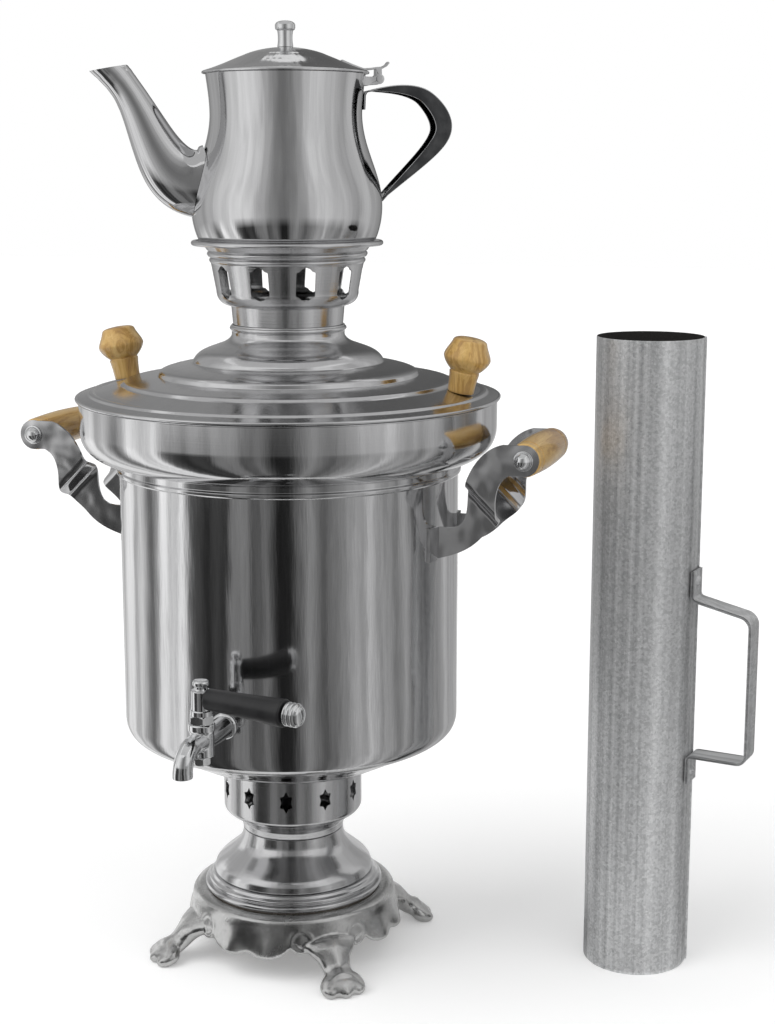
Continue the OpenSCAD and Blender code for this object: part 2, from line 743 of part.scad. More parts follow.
module lid() {
    step = 2.6;
    neck_out = neck_in_r + sheet;
    // Two raised steps on the cone, each point as its radius and its height over the cone
    outer_step = [[-1, 0], [-9, 0], [-10.5, 1.2], [-13, 1.2], [-14.5, 0]];
    inner_step = [[27.5, 0], [26, 0.6], [24.5, 1.6], [22, 1.6]];
    cone = concat(
        [for (p = outer_step) [lid_r + p[0], cone_z(lid_r + p[0]) + p[1]]],
        [for (p = inner_step) [bell_foot_r + p[0], cone_z(bell_foot_r + p[0]) + p[1]]],
        [[bell_foot_r + 0.4, z_cone - 1.4], [bell_foot_r - 0.6, z_cone + step - 1]]
    );
    bell = concat(
        curve([bell_foot_r - 2, z_cone + step], [bell_foot_r - 8, z_cone + step + 3],
            [bell_foot_r - 18, z_cone + step + 4], [bell_foot_r - 24, z_cone + step + 5.4], 6),
        curve([bell_foot_r - 25, z_cone + step + 6], [bell_foot_r - 28, z_cone + step + 14],
            [neck_out + 18, z_bell - 6], [neck_out + 10, z_bell - 3], 8),
        curve([neck_out + 10, z_bell - 3], [neck_out + 5, z_bell - 1.5], [neck_out + 1, z_bell + 1],
            [neck_out, z_bell + 4], 6, 1)
    );
    neck = concat([[neck_out, z_throat - 5.4]], arc([neck_out - 0.2, z_throat - 3], 1.6, -70, 70, 6),
        [[neck_out, z_throat - 0.4]]);
    skirt_r = bowl_r - sheet - 1;
    skirt_low = z_rim - 6;
    color(steel) difference() {
        rotate_extrude() {
            band(concat(cone, bell, neck), sheet);
            translate([curl_at, curl_z]) circle(r = curl_r);
            polygon([[skirt_r - sheet, skirt_low], [skirt_r, skirt_low],
                [skirt_r, cone_z(skirt_r) - sheet / 2],
                [skirt_r - sheet, cone_z(skirt_r - sheet) - sheet / 2]]);
        }
        for (s = [-1, 1]) at_knob(s) translate([0, 0, -8]) cylinder(r = 2.2, h = 12);
    }
}

// A frame on the lid's cone where a knob stands; s is 1 on the right and -1 on the left
module at_knob(s) {
    translate([s * knob_pitch, 0, cone_z(knob_pitch)]) rotate([0, s * knob_lean, 0]) children();
}

module knob(s) {
    k = knob_h / 40;
    w = knob_r / 16.8;
    pts = concat(
        [[0, 0.3], [9 * w, 0.3], [9.4 * w, 1.2]],
        curve([9.4 * w, 1.2], [9.6 * w, 6 * k], [10 * w, 11 * k], [10.8 * w, 15 * k], 5, 1),
        [[10.1 * w, 15.8 * k], [10.9 * w, 16.6 * k]],
        curve([10.9 * w, 16.6 * k], [13 * w, 18.4 * k], [knob_r - 0.6, 22 * k], [knob_r, 25.4 * k], 6, 1),
        curve([knob_r, 25.4 * k], [knob_r, 28.6 * k], [13.6 * w, 32.4 * k], [12.2 * w, 37 * k], 7, 1),
        curve([12.2 * w, 37 * k], [11.6 * w, 38.8 * k], [9 * w, 39.8 * k], [0, 40 * k], 5, 1)
    );
    color(wood) difference() {
        at_knob(s) rotate_extrude() polygon(pts);
        rotate_extrude() polygon([[0, 0], [lid_r, 0], [lid_r, cone_z(lid_r) + seat],
            [bell_foot_r + 4, cone_z(bell_foot_r + 4) + seat], [0, z_cone]]);
        at_knob(s) translate([0, 0, -eps]) cylinder(r = 1.95, h = 18);
    }
}

module lid_knob_right() knob(1);
module lid_knob_left() knob(-1);

module lid_knob_screws() {
    color(steel) for (s = [-1, 1]) at_knob(s) {
        translate([0, 0, -4.4]) cylinder(r = 4, h = 2);
        translate([0, 0, -2.5]) cylinder(r = 1.9, h = 18);
    }
}

// Crown: pierced cup that carries the teapot over the flue

module crown() {
    z0 = z_throat;
    low_r = crown_wall_r - 2.5;
    spigot_r = neck_in_r - 1.6;
    seat_r = neck_in_r - 0.15;
    ledge_in = max(crown_wall_r + 5, pot_foot_r - 3);
    ledge_out = max(ledge_in + 1, min(pot_foot_r + 0.8, crown_r - 5));
    beads = [for (i = [0 : 1], k = [0 : 6])
        [crown_wall_r + 1.4 + i * 1.5 + 1.2 * sin(k * 30), z0 + 43.8 + i * 4.6 + k * 0.7]];
    pts = concat(
        [[spigot_r, z0 - 8], [spigot_r, z0 - 1.5], [seat_r, z0 - 0.5], [seat_r + 1.2, z0 + 13]],
        curve([seat_r + 1.2, z0 + 13], [low_r - 4, z0 + 14], [low_r, z0 + 17], [low_r + 0.3, z0 + 24], 7, 1),
        [[crown_wall_r + 1.2, z0 + 43]],
        beads,
        [[crown_wall_r + 4, z0 + 53]],
        [[ledge_in, z_pot - pot_sink - thin], [ledge_out, z_pot - pot_sink - thin],
            [ledge_out + 1.6, z_pot - 1 - thin], [crown_r - 1.8, z_pot - 0.8 - thin]]
    );
    // A quarter of a window: a straight side, a shoulder and a low arch
    quarter = [[0.5, 0.35], [0.34, 0.37], [0.22, 0.45], [0, 0.5]];
    half = concat(quarter, [for (i = [2, 1, 0]) [-quarter[i][0], quarter[i][1]]]);
    window = [for (p = concat(half, -half)) [p[0] * window_w, p[1] * window_h]];
    color(steel) difference() {
        rotate_extrude() {
            band(pts, thin);
            translate([crown_r - 1.8, z_pot - 1.8]) circle(r = 1.8);
        }
        around(window_count, -90) translate([crown_wall_r - 8, 0, z0 + 31]) rotate([90, 0, 90])
            linear_extrude(height = 16) polygon(window);
    }
}

// Teapot, drawn with its foot at the origin, its handle at +X and its spout at -X

module at_pot() {
    translate([0, 0, z_pot - pot_sink + 0.3]) rotate(pot_turn) children();
}

function pot_outline() = concat(
    [[pot_foot_r - 5, 0], [pot_foot_r - 1.5, 0]],
    curve([pot_foot_r - 0.3, 1], [pot_r - 1, pot_h * 0.09], [pot_r + 0.3, pot_h * 0.17],
        [pot_r, pot_h * 0.24], 7),
    curve([pot_r, pot_h * 0.24], [pot_r - 0.5, pot_h * 0.42], [pot_mouth_r - 2, pot_h * 0.56],
        [pot_mouth_r - 2.6, pot_h * 0.76], 10, 1),
    curve([pot_mouth_r - 2.6, pot_h * 0.76], [pot_mouth_r - 2.6, pot_h * 0.86],
        [pot_mouth_r - 1, pot_h * 0.93], [pot_mouth_r, pot_h], 5, 1)
);

// The room taken by the body, for cutting what is joined to its wall
module pot_space() {
    rotate_extrude() polygon(concat([[0, 0]], shifted(pot_outline(), seat), [[0, pot_h]]));
}

module pot_body() {
    outline = pot_outline();
    inner = reversed(shifted(outline, -thin));
    floor_z = 1.6;
    color(steel) at_pot() difference() {
        rotate_extrude() polygon(concat([[0, floor_z], [pot_foot_r - 7, floor_z]], outline, inner,
            [[pot_foot_r - 6, floor_z + thin], [0, floor_z + thin]]));
        for (row = [0 : 3], i = [-1.5 + (row % 2) / 2 : 1 : 1.5])
            rotate(180 + i * 7) translate([0, 0, pot_h * (0.22 + 0.07 * row)])
                rotate([0, 90, 0]) cylinder(r = 1.6, h = pot_r + 5);
    }
}

// The spout follows one cubic curve from inside the body's wall to its tip
function spout_mid(t) = cubic(
    [pot_r - 13, pot_h * 0.37], [pot_spout_reach - 42, pot_h * 0.3],
    [pot_spout_reach - 42, pot_h * 0.81], [pot_spout_reach - 12, pot_h * 1.025], t);

function spout_turn(t) =
    let (d = spout_mid(min(1, t + 0.02)) - spout_mid(max(0, t - 0.02))) atan2(d[1], d[0]);
spout_steps = 14;
spout_sides = 20;
// Half height and half width of the spout along its length
spout_tall = [[0, 26], [0.25, 22], [0.5, 16.4], [0.75, 11.6], [0.9, 10.2], [1, 13.2]];
spout_wide = [[0, 18], [0.25, 14.4], [0.5, 11.4], [0.75, 9.2], [0.9, 8.6], [1, 9.6]];

// One ring of the spout, shrunk by the wall w
function spout_ring(t, w) =
    let (c = spout_mid(t),
         a = spout_turn(t) + (80 - spout_turn(1)) * max(0, t * 8 - 7),
         tall = lookup(t, spout_tall) - w,
         wide = lookup(t, spout_wide) - w)
    [for (k = [0 : spout_sides - 1]) let (b = k * 360 / spout_sides)
        [-(c[0] - tall * cos(b) * sin(a)), wide * sin(b), c[1] + tall * cos(b) * cos(a)]];

module spout_skin() {
    n = spout_sides;
    m = spout_steps + 1;
    outer = [for (i = [0 : spout_steps]) each spout_ring(i / spout_steps, 0)];
    inner = [for (i = [0 : spout_steps]) each spout_ring(i / spout_steps, thin)];
    walls = [for (i = [0 : spout_steps - 1], k = [0 : n - 1])
        let (a = i * n + k, b = i * n + (k + 1) % n) each [
        [a, b, b + n], [a, b + n, a + n],
        [m * n + b, m * n + a, m * n + a + n], [m * n + b, m * n + a + n, m * n + b + n]
    ]];
    ends = [for (k = [0 : n - 1]) let (a = k, b = (k + 1) % n, p = m * n, e = spout_steps * n) each [
        [b, a, p + a], [b, p + a, p + b],
        [e + a, e + b, p + e + b], [e + a, p + e + b, p + e + a]
    ]];
    polyhedron(points = concat(outer, inner), faces = concat(walls, ends));
}

module pot_spout() {
    color(steel) at_pot() difference() {
        spout_skin();
        pot_space();
    }
}

strap_t = 1.2;
// Depth of the strap's folded edges at its widest
strap_edge = 11;
function pot_strap() =
    let (top = [pot_mouth_r - 2.9, pot_h * 0.895],
         low = [pot_r - 4.4, pot_h * 0.25],
         bend = [pot_handle_reach - 14, pot_h * 0.89],
         out = [pot_handle_reach, pot_h * 0.69])
    concat(
        [top + [0.6, -12], top + [1, -2]],
        curve(top + [1.6, -0.6], top + [2.4, 1.2], top + [4, 1.4], top + [7, 1.8], 3, 1),
        curve(top + [7, 1.8], top + [20, 5.8], [pot_handle_reach - 25, pot_h * 0.965], bend, 6, 1),
        curve(bend, bend + [9, -7], out + [0.5, 8], out, 5, 1),
        curve(out, out + [-0.5, -14], [pot_handle_reach - 18, pot_h * 0.48], low + [8, 4], 8, 1),
        [low + [4.4, 0]]
    );

module pot_handle() {
    pts = pot_strap();
    last = len(pts) - 1;
    first = 6;
    loop = [for (i = [first : last]) pts[i]];
    depths = [for (i = [first : last])
        strap_t + strap_edge * pow(sin(180 * (i - first) / (last - first)), 0.8)];
    color(steel) at_pot() difference() {
        rotate([90, 0, 0]) {
            linear_extrude(height = pot_strap_w, center = true) band(pts, -strap_t);
            for (s = [-1, 1]) translate([0, 0, s * (pot_strap_w - strap_t) / 2])
                linear_extrude(height = strap_t, center = true)
                    polygon(concat(loop, reversed(shifted_each(loop, depths))));
        }
        pot_space();
    }
}

// Lid hinge of the teapot: a two-eared bracket on the body, a leaf on the lid and a pin between them
hinge_z = pot_h - 3;
hinge_pin_r = 1.6;
hinge_ear_r = 3.6;
hinge_w = 12;
ear_t = 1.8;

module at_hinge() {
    at_pot() translate([pot_hinge_x, 0, hinge_z]) rotate([90, 0, 0]) children();
}

module pot_hinge_bracket() {
    color(steel) difference() {
        union() {
            at_hinge() for (s = [-1, 1]) translate([0, 0, s * (hinge_w / 2 - ear_t / 2)])
                linear_extrude(height = ear_t, center = true) {
                    circle(r = hinge_ear_r);
                    polygon([[0, -hinge_ear_r], [-12, -hinge_ear_r - 1], [-12, 1.6], [0, 1.6]]);
                }
            at_pot() translate([pot_mouth_r - 3, -hinge_w / 2, hinge_z - hinge_ear_r - 1])
                cube([5.6, hinge_w, 2]);
        }
        at_pot() pot_space();
        at_hinge() cylinder(r = hinge_pin_r + 0.05, h = 30, center = true);
    }
}

module pot_hinge_pin() {
    color(steel) at_hinge() {
        cylinder(r = hinge_pin_r, h = hinge_w + 1.2, center = true);
        for (s = [-1, 1]) translate([0, 0, s * (hinge_w / 2 + 0.7)])
            cylinder(r = hinge_pin_r + 0.7, h = 1, center = true);
    }
}

pot_rim_r = pot_mouth_r + 2.6;

function pot_lid_outline() = concat(
    [[pot_rim_r, pot_h + 0.3], [pot_rim_r, pot_h + 1.5], [pot_rim_r - 1, pot_h + 2.1]],
    curve([pot_rim_r - 1, pot_h + 2.1], [pot_rim_r - 14, pot_h + 6], [40, pot_h + pot_lid_h * 0.5],
        [30, pot_h + pot_lid_h * 0.7], 7, 1),
    curve([30, pot_h + pot_lid_h * 0.7], [22, pot_h + pot_lid_h * 0.9], [10, pot_h + pot_lid_h],
        [3, pot_h + pot_lid_h], 7, 1)
);

// Height of the pot lid's top at radius r, between the rim and the inner dome
function pot_lid_z(r) = lookup(r, [for (p = reversed(pot_lid_outline())) p]);

module pot_lid() {
    top = pot_lid_outline();
    under = reversed(shifted(top, -thin));
    vent_at = -110;
    skirt_r = pot_mouth_r - 1.7;
    color(steel) at_pot() difference() {
        rotate_extrude() {
            polygon(concat(top, [[0, pot_h + pot_lid_h]], [[0, pot_h + pot_lid_h - thin]], under));
            polygon([[skirt_r - 0.7, pot_h - 4], [skirt_r, pot_h - 4], [skirt_r, pot_h + 2.4],
                [skirt_r - 0.7, pot_h + 2.6]]);
        }
        rotate(vent_at) for (i = [-1, 0, 1]) translate([40, i * 4.2, pot_h]) cylinder(r = 1.2, h = 20);
        translate([0, 0, pot_h]) cylinder(r = 1.55, h = 30);
    }
}

module pot_lid_knob() {
    z0 = pot_h + pot_lid_h;
    z_nut = z0 - thin - seat;
    color(steel) at_pot() rotate_extrude() polygon(concat(
        [[0, z_nut - 4], [3.4, z_nut - 4], [3.4, z_nut], [1.5, z_nut], [1.5, z0 + seat], [5.6, z0 + seat],
            [5.6, z0 + 1.2]],
        curve([5.6, z0 + 1.2], [5, z0 + 4], [5, z0 + 8], [5.6, z0 + 11.4], 5, 1),
        [[6.8, z0 + 12.2], [7.2, z0 + 13.4], [7.2, z0 + 15.6], [6.4, z0 + 16.8]],
        curve([6.4, z0 + 16.8], [5, z0 + 18], [3, z0 + 18.4], [0, z0 + 18.4], 4, 1)
    ));
}

module pot_hinge_leaf() {
    leaf_t = 1.4;
    leaf_w = hinge_w - 2 * ear_t - 0.5;
    on_lid = [for (r = [40 : 4 : 56]) [r - pot_hinge_x, pot_lid_z(r) - hinge_z + 0.15]];
    tail = [[pot_rim_r + 1.5 - pot_hinge_x, 6.4], [-2, 7], [3, 7.4], [6, 9], [8, 11.4]];
    strip = concat(on_lid, tail);
    color(steel) at_hinge() difference() {
        union() {
            translate([0, 0, -leaf_w / 2]) linear_extrude(height = leaf_w)
                polygon(concat(strip, reversed(shifted(strip, -leaf_t))));
            translate([0, 0, -leaf_w / 2]) linear_extrude(height = leaf_w) {
                circle(r = hinge_ear_r - 0.4);
                polygon([[-2.4, 0], [2.4, 0], [2.2, 8.2], [-2.2, 8]]);
            }
        }
        cylinder(r = hinge_pin_r + 0.02, h = 40, center = true);
    }
}

// Draught pipe that stands beside the urn, with its folded seam, strap handle and rivets

pipe_grip_at = -9;
pipe_seam_at = 9.5;
rivet_r = 2.5;
rivet_hole_r = rivet_r + 0.05;
pipe_grip_mid = pipe_h * 0.46;
pipe_grip_low = pipe_grip_mid - 52;
pipe_grip_top = pipe_grip_mid + 64;

module at_pipe(turn = 0) {
    translate([pipe_x, pipe_y, 0]) rotate(turn) children();
}

// Frames on the pipe's wall where the strap is riveted, with +Z pointing away from the wall
module at_rivets() {
    for (z = [pipe_grip_low - 12, pipe_grip_top + 16])
        translate([pipe_r, 0, z]) rotate([0, 90, 0]) children();
}

module pipe_tube() {
    seam_w = 7;
    color(zinc) at_pipe(pipe_seam_at) difference() {
        union() {
            cylinder(r = pipe_r, h = pipe_h);
            intersection() {
                cylinder(r = pipe_r + 2 * pipe_sheet, h = pipe_h);
                translate([0, -seam_w / 2, 0]) cube([pipe_r + 5, seam_w, pipe_h]);
            }
        }
        translate([0, 0, -1]) cylinder(r = pipe_r - pipe_sheet, h = pipe_h + 2);
        rotate(pipe_grip_at - pipe_seam_at) at_rivets() cylinder(r = rivet_hole_r, h = 4, center = true);
    }
}

grip_strap_t = 2;
grip_strap_w = 16;

// Path of the strap handle in its upright plane, from the lower tab to the upper one
function pipe_strap() =
    let (r0 = pipe_r + 0.4, r1 = pipe_r + pipe_grip_reach, low = pipe_grip_low, top = pipe_grip_top)
    concat(
        [[r0 + grip_strap_t, low - 20]],
        arc([r0 + grip_strap_t + 2, low - 2], 2, 180, 90, 3),
        arc([r1 - 8, low + 8], 8, -90, 0, 5),
        arc([r1 - 10, top - 14], 10, 0, 75, 5),
        arc([r0 + grip_strap_t + 3, top + 6], 3, 255, 180, 3),
        [[r0 + grip_strap_t, top + 24]]
    );

module pipe_handle() {
    color(zinc) at_pipe(pipe_grip_at) difference() {
        rotate([90, 0, 0]) translate([0, 0, -grip_strap_w / 2]) linear_extrude(height = grip_strap_w)
            band(pipe_strap(), grip_strap_t);
        at_rivets() cylinder(r = rivet_hole_r, h = 20, center = true);
    }
}

module pipe_rivets() {
    head = 2.4;
    color(zinc) at_pipe(pipe_grip_at) at_rivets() {
        translate([0, 0, -pipe_sheet + 0.1]) cylinder(r = rivet_r, h = head + pipe_sheet);
        translate([0, 0, head]) rotate_extrude() polygon(concat([[0, 0]], arc([0, -2], 4.6, 25.8, 90, 5)));
    }
}

base_casting();
base_screws();
base_nuts();
ash_pan();
base_ring();
stem_shell();
neck_band();
fire_grate();
firebox();
tank();
bowl();
bracket_left_front();
bracket_left_rear();
bracket_right_front();
bracket_right_rear();
grip_left();
grip_right();
rod_left();
rod_right();
cap_nuts_left();
cap_nuts_right();
tap_body();
tap_flange();
tap_gasket();
tap_locknut();
tap_gland_nut();
tap_plug();
tap_plug_nut();
tap_lever_rod();
tap_grip();
tap_end_knob();
lid();
lid_knob_left();
lid_knob_right();
lid_knob_screws();
crown();
pot_body();
pot_spout();
pot_handle();
pot_hinge_bracket();
pot_lid();
pot_lid_knob();
pot_hinge_leaf();
pot_hinge_pin();
pipe_tube();
pipe_handle();
pipe_rivets();
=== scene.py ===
import math
import bmesh
import bpy
import numpy as np
from mathutils import Matrix, Vector


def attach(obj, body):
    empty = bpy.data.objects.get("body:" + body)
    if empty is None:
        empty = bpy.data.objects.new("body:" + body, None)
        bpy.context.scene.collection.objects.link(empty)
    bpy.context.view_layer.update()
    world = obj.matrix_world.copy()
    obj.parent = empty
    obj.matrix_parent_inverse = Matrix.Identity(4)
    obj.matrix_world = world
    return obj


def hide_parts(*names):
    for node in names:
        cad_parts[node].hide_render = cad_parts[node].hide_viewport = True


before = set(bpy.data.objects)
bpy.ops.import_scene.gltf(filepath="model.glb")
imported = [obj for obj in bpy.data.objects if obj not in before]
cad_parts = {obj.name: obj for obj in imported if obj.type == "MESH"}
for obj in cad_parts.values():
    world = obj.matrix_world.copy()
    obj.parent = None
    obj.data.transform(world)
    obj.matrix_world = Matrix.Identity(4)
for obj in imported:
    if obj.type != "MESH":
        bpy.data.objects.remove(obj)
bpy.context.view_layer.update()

# The numbers of part.scad that the pieces below repeat, in millimetres

tank_r, tank_h, tank_dish, sheet = 125, 235, 42, 1
bowl_r, bowl_h, seam_h = 153, 47, 9
lid_over, lid_cone_h, lid_bell_h, lid_neck_h = 2.5, 16, 24, 12
knob_pitch, knob_h, knob_r, knob_lean = 131.5, 40, 16.8, 11
neck_r, neck_band_h, neck_curve_h, waist_r = 52.5, 31, 19, 38.2
star_count, star_w, star_h = 11, 11, 17
stem_h, stem_r, ring_r, ring_h = 35, 60.5, 68, 11
base_h, base_r, apron_r, cast_wall, foot_reach, foot_turn = 48, 78, 83, 3.5, 117, 41.5
fire_r, flue_r, fire_h, flue_up, fire_wall = 48.5, 35.5, 180, 12, 1.2
crown_r, crown_h, crown_wall_r, window_count, window_w, window_h, thin = 69.5, 60, 54, 10, 14, 24, 0.8
pipe_r, pipe_h, pipe_sheet, pipe_clear, pipe_x, pipe_y = 38.5, 472, 0.6, 1.7, 256, 58
grip_x, grip_drop, grip_span, grip_r, rod_r, plate = 189.5, 33.5, 82, 13, 3, 2
tap_up, plug_out, spout_out, mouth_r = 65, 37, 31, 4.5
lever_len, lever_turn = 77.5, 12
pot_h, pot_r, pot_foot_r, pot_mouth_r, pot_lid_h = 119, 68.7, 63.5, 57, 18.5
pot_handle_reach, pot_strap_w, pot_spout_reach, pot_turn = 120, 20, 137, 31
seat = 0.1
z_ring = base_h + thin
z_stem = z_ring + ring_h
z_waist = z_stem + stem_h
z_neck = z_waist + neck_curve_h + neck_band_h
z_wall = z_neck + tank_dish
z_bowl = z_neck + tank_h
z_rim = z_bowl + bowl_h
z_cone = z_rim + lid_cone_h
z_bell = z_cone + lid_bell_h
z_throat = z_bell + lid_neck_h
z_flue = z_throat + flue_up
z_pot = z_throat + crown_h
pot_sink = 2.6
z_tap = z_neck + tap_up
z_grip = z_rim - grip_drop
pipe_grip_at, pipe_seam_at, pipe_grip_reach = -9, 9.5, 46
pipe_grip_low, pipe_grip_top = pipe_h * 0.46 - 52, pipe_h * 0.46 + 64

# The camera's own angles, in degrees: down from level, and round from the tap

camera_down, camera_round = 11, 19


# Plane outlines

def v(*p):
    return np.array(p, float)


def pts(*items):
    return [np.array(p, float) for p in items]


def polar(r, deg, *z):
    return v(r * math.cos(math.radians(deg)), r * math.sin(math.radians(deg)), *z)


def arc(c, r, a0, a1, n=12):
    return [v(*c) + polar(r, a0 + (a1 - a0) * i / n) for i in range(n + 1)]


def ring(r, step, c=(0, 0)):
    """A closed circle with a point every step degrees."""
    return [v(*c) + polar(r, a) for a in range(0, 360, step)]


def cubic(p, q, r, s, t):
    u = 1 - t
    return u ** 3 * v(*p) + 3 * u * u * t * v(*q) + 3 * u * t * t * v(*r) + t ** 3 * v(*s)


def curve(p, q, r, s, n=12, first=0):
    return [cubic(p, q, r, s, i / n) for i in range(first, n + 1)]


def side(p, q):
    d = q - p
    return v(d[1], -d[0]) / np.linalg.norm(d)


def shifted(line, t):
    """An open outline moved sideways by t."""
    out = []
    for i, p in enumerate(line):
        k = min(i, len(line) - 2)
        b = side(line[k], line[k + 1])
        a = b if i == 0 else side(line[i - 1], line[i])
        m = (a + b) / np.linalg.norm(a + b)
        out.append(p + m * t / max(0.5, float(m @ a)))
    return out


def band(line, t):
    return list(line) + shifted(line, -t)[::-1]


def eased(b, p0, p1, n):
    """A round corner from p0 to p1, pulled towards b."""
    return [(1 - t) ** 2 * p0 + 2 * (1 - t) * t * b + t * t * p1 for t in (j / n for j in range(n + 1))]


def rounded(loop, r, least=24):
    """A closed outline with each corner sharper than least degrees rounded off."""
    out = []
    for i, b in enumerate(loop):
        a, c = loop[i - 1], loop[(i + 1) % len(loop)]
        d0, d1 = b - a, c - b
        l0, l1 = np.linalg.norm(d0), np.linalg.norm(d1)
        if l0 < 1e-6 or l1 < 1e-6:
            continue
        bend = math.degrees(math.acos(max(-1, min(1, float(d0 @ d1) / l0 / l1))))
        if bend < least or abs(b[0]) < 1e-6:
            out.append(b)
            continue
        k = min(r, 0.42 * l0, 0.42 * l1)
        out += eased(b, b - d0 / l0 * k, b + d1 / l1 * k, 4)
    return out


def held(loop, d=0.5, step=14):
    """Adds points by the ends of long straight runs, so that smooth shading stays flat along them."""
    out = []
    for p, q in zip(loop, loop[1:] + loop[:1]):
        out.append(p)
        length = np.linalg.norm(q - p)
        if length > 4 * d:
            m = int(length // step)
            out += [p + (q - p) * d / length] + [p + (q - p) * k / m for k in range(1, m)]
            out.append(q - (q - p) * d / length)
    return out


# Shapes, each as vertices and faces in millimetres

def mover(*steps):
    """A function that carries a point through matrices, the last one first."""
    m = Matrix.Identity(4)
    for s in steps:
        m = m @ s

    def go(p):
        return v(*(m @ Vector((float(p[0]), float(p[1]), float(p[2])))))
    return go


def shift(x, y, z):
    return Matrix.Translation((x, y, z))


def turn(axis, deg):
    return Matrix.Rotation(math.radians(deg), 4, axis)


def moved(shape, *steps):
    go = mover(*steps)
    return [go(p) for p in shape[0]], shape[1]


def joined(*shapes):
    verts, faces = [], []
    for more, theirs in shapes:
        base = len(verts)
        verts += list(more)
        faces += [[base + i for i in f] for f in theirs]
    return verts, faces


def turned(loop, seg=192, place=None, bulge=None):
    """A closed section turned about the axis; bulge and then place move each point."""
    verts, faces, index = [], [], []
    for p in loop:
        if abs(p[0]) < 1e-6:
            index.append([len(verts)] * seg)
            verts.append(v(0, 0, p[1]))
            continue
        index.append(list(range(len(verts), len(verts) + seg)))
        verts += [polar(p[0], 360 * k / seg, p[1]) for k in range(seg)]
    for i, a in enumerate(index):
        b = index[(i + 1) % len(index)]
        for k in range(seg):
            m = (k + 1) % seg
            f = [a[k], a[m], b[m], b[k]]
            f = [x for j, x in enumerate(f) if x != f[j - 1]]
            if len(f) >= 3:
                faces.append(f)
    for step in (bulge, place):
        if step:
            verts = [step(p) for p in verts]
    return verts, faces


def prism(outline, z0, z1):
    """A closed outline raised from z0 to z1."""
    n = len(outline)
    verts = [v(p[0], p[1], z) for z in (z0, z1) for p in outline]
    faces = [list(range(n))[::-1], list(range(n, 2 * n))]
    faces += [[i, (i + 1) % n, n + (i + 1) % n, n + i] for i in range(n)]
    return verts, faces


def stacked(rows, closed=True):
    """A tube through rows of points, with flat ends where it is closed."""
    m, last = len(rows[0]), (len(rows) - 1) * len(rows[0])
    faces = [[i + k, i + (k + 1) % m, i + m + (k + 1) % m, i + m + k]
             for i in range(0, last, m) for k in range(m)]
    if closed:
        faces += [list(range(m))[::-1], list(range(last, last + m))]
    return [p for row in rows for p in row], faces


def sleeve(outer, inner):
    """A thin wall between two tubes of as many points, with its two rims."""
    m, size = len(outer[0]), len(outer) * len(outer[0])
    verts, faces = joined(stacked(outer, False), stacked(inner, False))
    for e in (0, size - m):
        faces += [[e + k, e + (k + 1) % m, size + e + (k + 1) % m, size + e + k] for k in range(m)]
    return verts, faces


# Objects from shapes

def placed(ob, body, nodes=()):
    """Parents a piece to the empty of the body it rides, and hides the CAD nodes it replaces."""
    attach(ob, body)
    if nodes:
        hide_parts(*nodes)


def mesh_piece(name, shape, body=None, nodes=(), mat=None, sharp=None, weld=1e-7):
    """An object from a shape: smooth, with edges sharper than sharp degrees left hard."""
    me = bpy.data.meshes.new(name)
    me.from_pydata([tuple(float(c) * 0.001 for c in p) for p in shape[0]], [], shape[1])
    me.validate()
    bm = bmesh.new()
    bm.from_mesh(me)
    bmesh.ops.remove_doubles(bm, verts=bm.verts, dist=weld)
    bmesh.ops.recalc_face_normals(bm, faces=bm.faces)
    bm.to_mesh(me)
    bm.free()
    ob = bpy.data.objects.new(name, me)
    bpy.context.scene.collection.objects.link(ob)
    me.shade_smooth()
    if sharp:
        me.set_sharp_from_angle(angle=math.radians(sharp))
    if mat:
        me.materials.append(mat)
    if body:
        placed(ob, body, nodes)
    return ob


def lathe(name, loop, body, nodes=(), mat=None, seg=192, round_r=0.3, place=None, bulge=None):
    shape = turned(held(rounded(loop, round_r)), seg, place, bulge)
    return mesh_piece(name, shape, body, nodes, mat)


def shell(name, line, t, body, nodes, mat, seg=192):
    return lathe(name, band(line, t), body, nodes, mat, seg, min(0.3, t * 0.3))


def apply_all(ob):
    deps = bpy.context.evaluated_depsgraph_get()
    deps.update()
    me = bpy.data.meshes.new_from_object(ob.evaluated_get(deps), preserve_all_data_layers=True,
                                         depsgraph=deps)
    old = ob.data
    ob.modifiers.clear()
    ob.data = me
    me.name = old.name
    bpy.data.meshes.remove(old)


def boolean(ob, shape, how="DIFFERENCE"):
    tool = mesh_piece("tool", shape)
    mod = ob.modifiers.new("part", "BOOLEAN")
    mod.object = tool
    mod.operation = how
    mod.solver = "EXACT"
    apply_all(ob)
    bpy.data.objects.remove(tool)


def cut(ob, *shapes, sharp=38):
    """Cuts closed shapes out of a piece and shades it anew."""
    boolean(ob, joined(*shapes))
    ob.data.shade_smooth()
    ob.data.set_sharp_from_angle(angle=math.radians(sharp))


def fused(ob, voxel, rounds):
    """One smooth skin round shapes that run through each other."""
    remesh = ob.modifiers.new("fuse", "REMESH")
    remesh.mode = "VOXEL"
    remesh.voxel_size = voxel
    smooth = ob.modifiers.new("smooth", "SMOOTH")
    smooth.factor = 0.5
    smooth.iterations = rounds
    apply_all(ob)
    ob.data.shade_smooth()


def bevelled(ob, width, angle):
    """Softened edges with flat faces kept flat."""
    bev = ob.modifiers.new("edge", "BEVEL")
    bev.width = width * 0.001
    bev.segments = 3
    bev.limit_method = "ANGLE"
    bev.angle_limit = math.radians(angle)
    flat = ob.modifiers.new("flats", "WEIGHTED_NORMAL")
    flat.weight = 80
    flat.keep_sharp = True


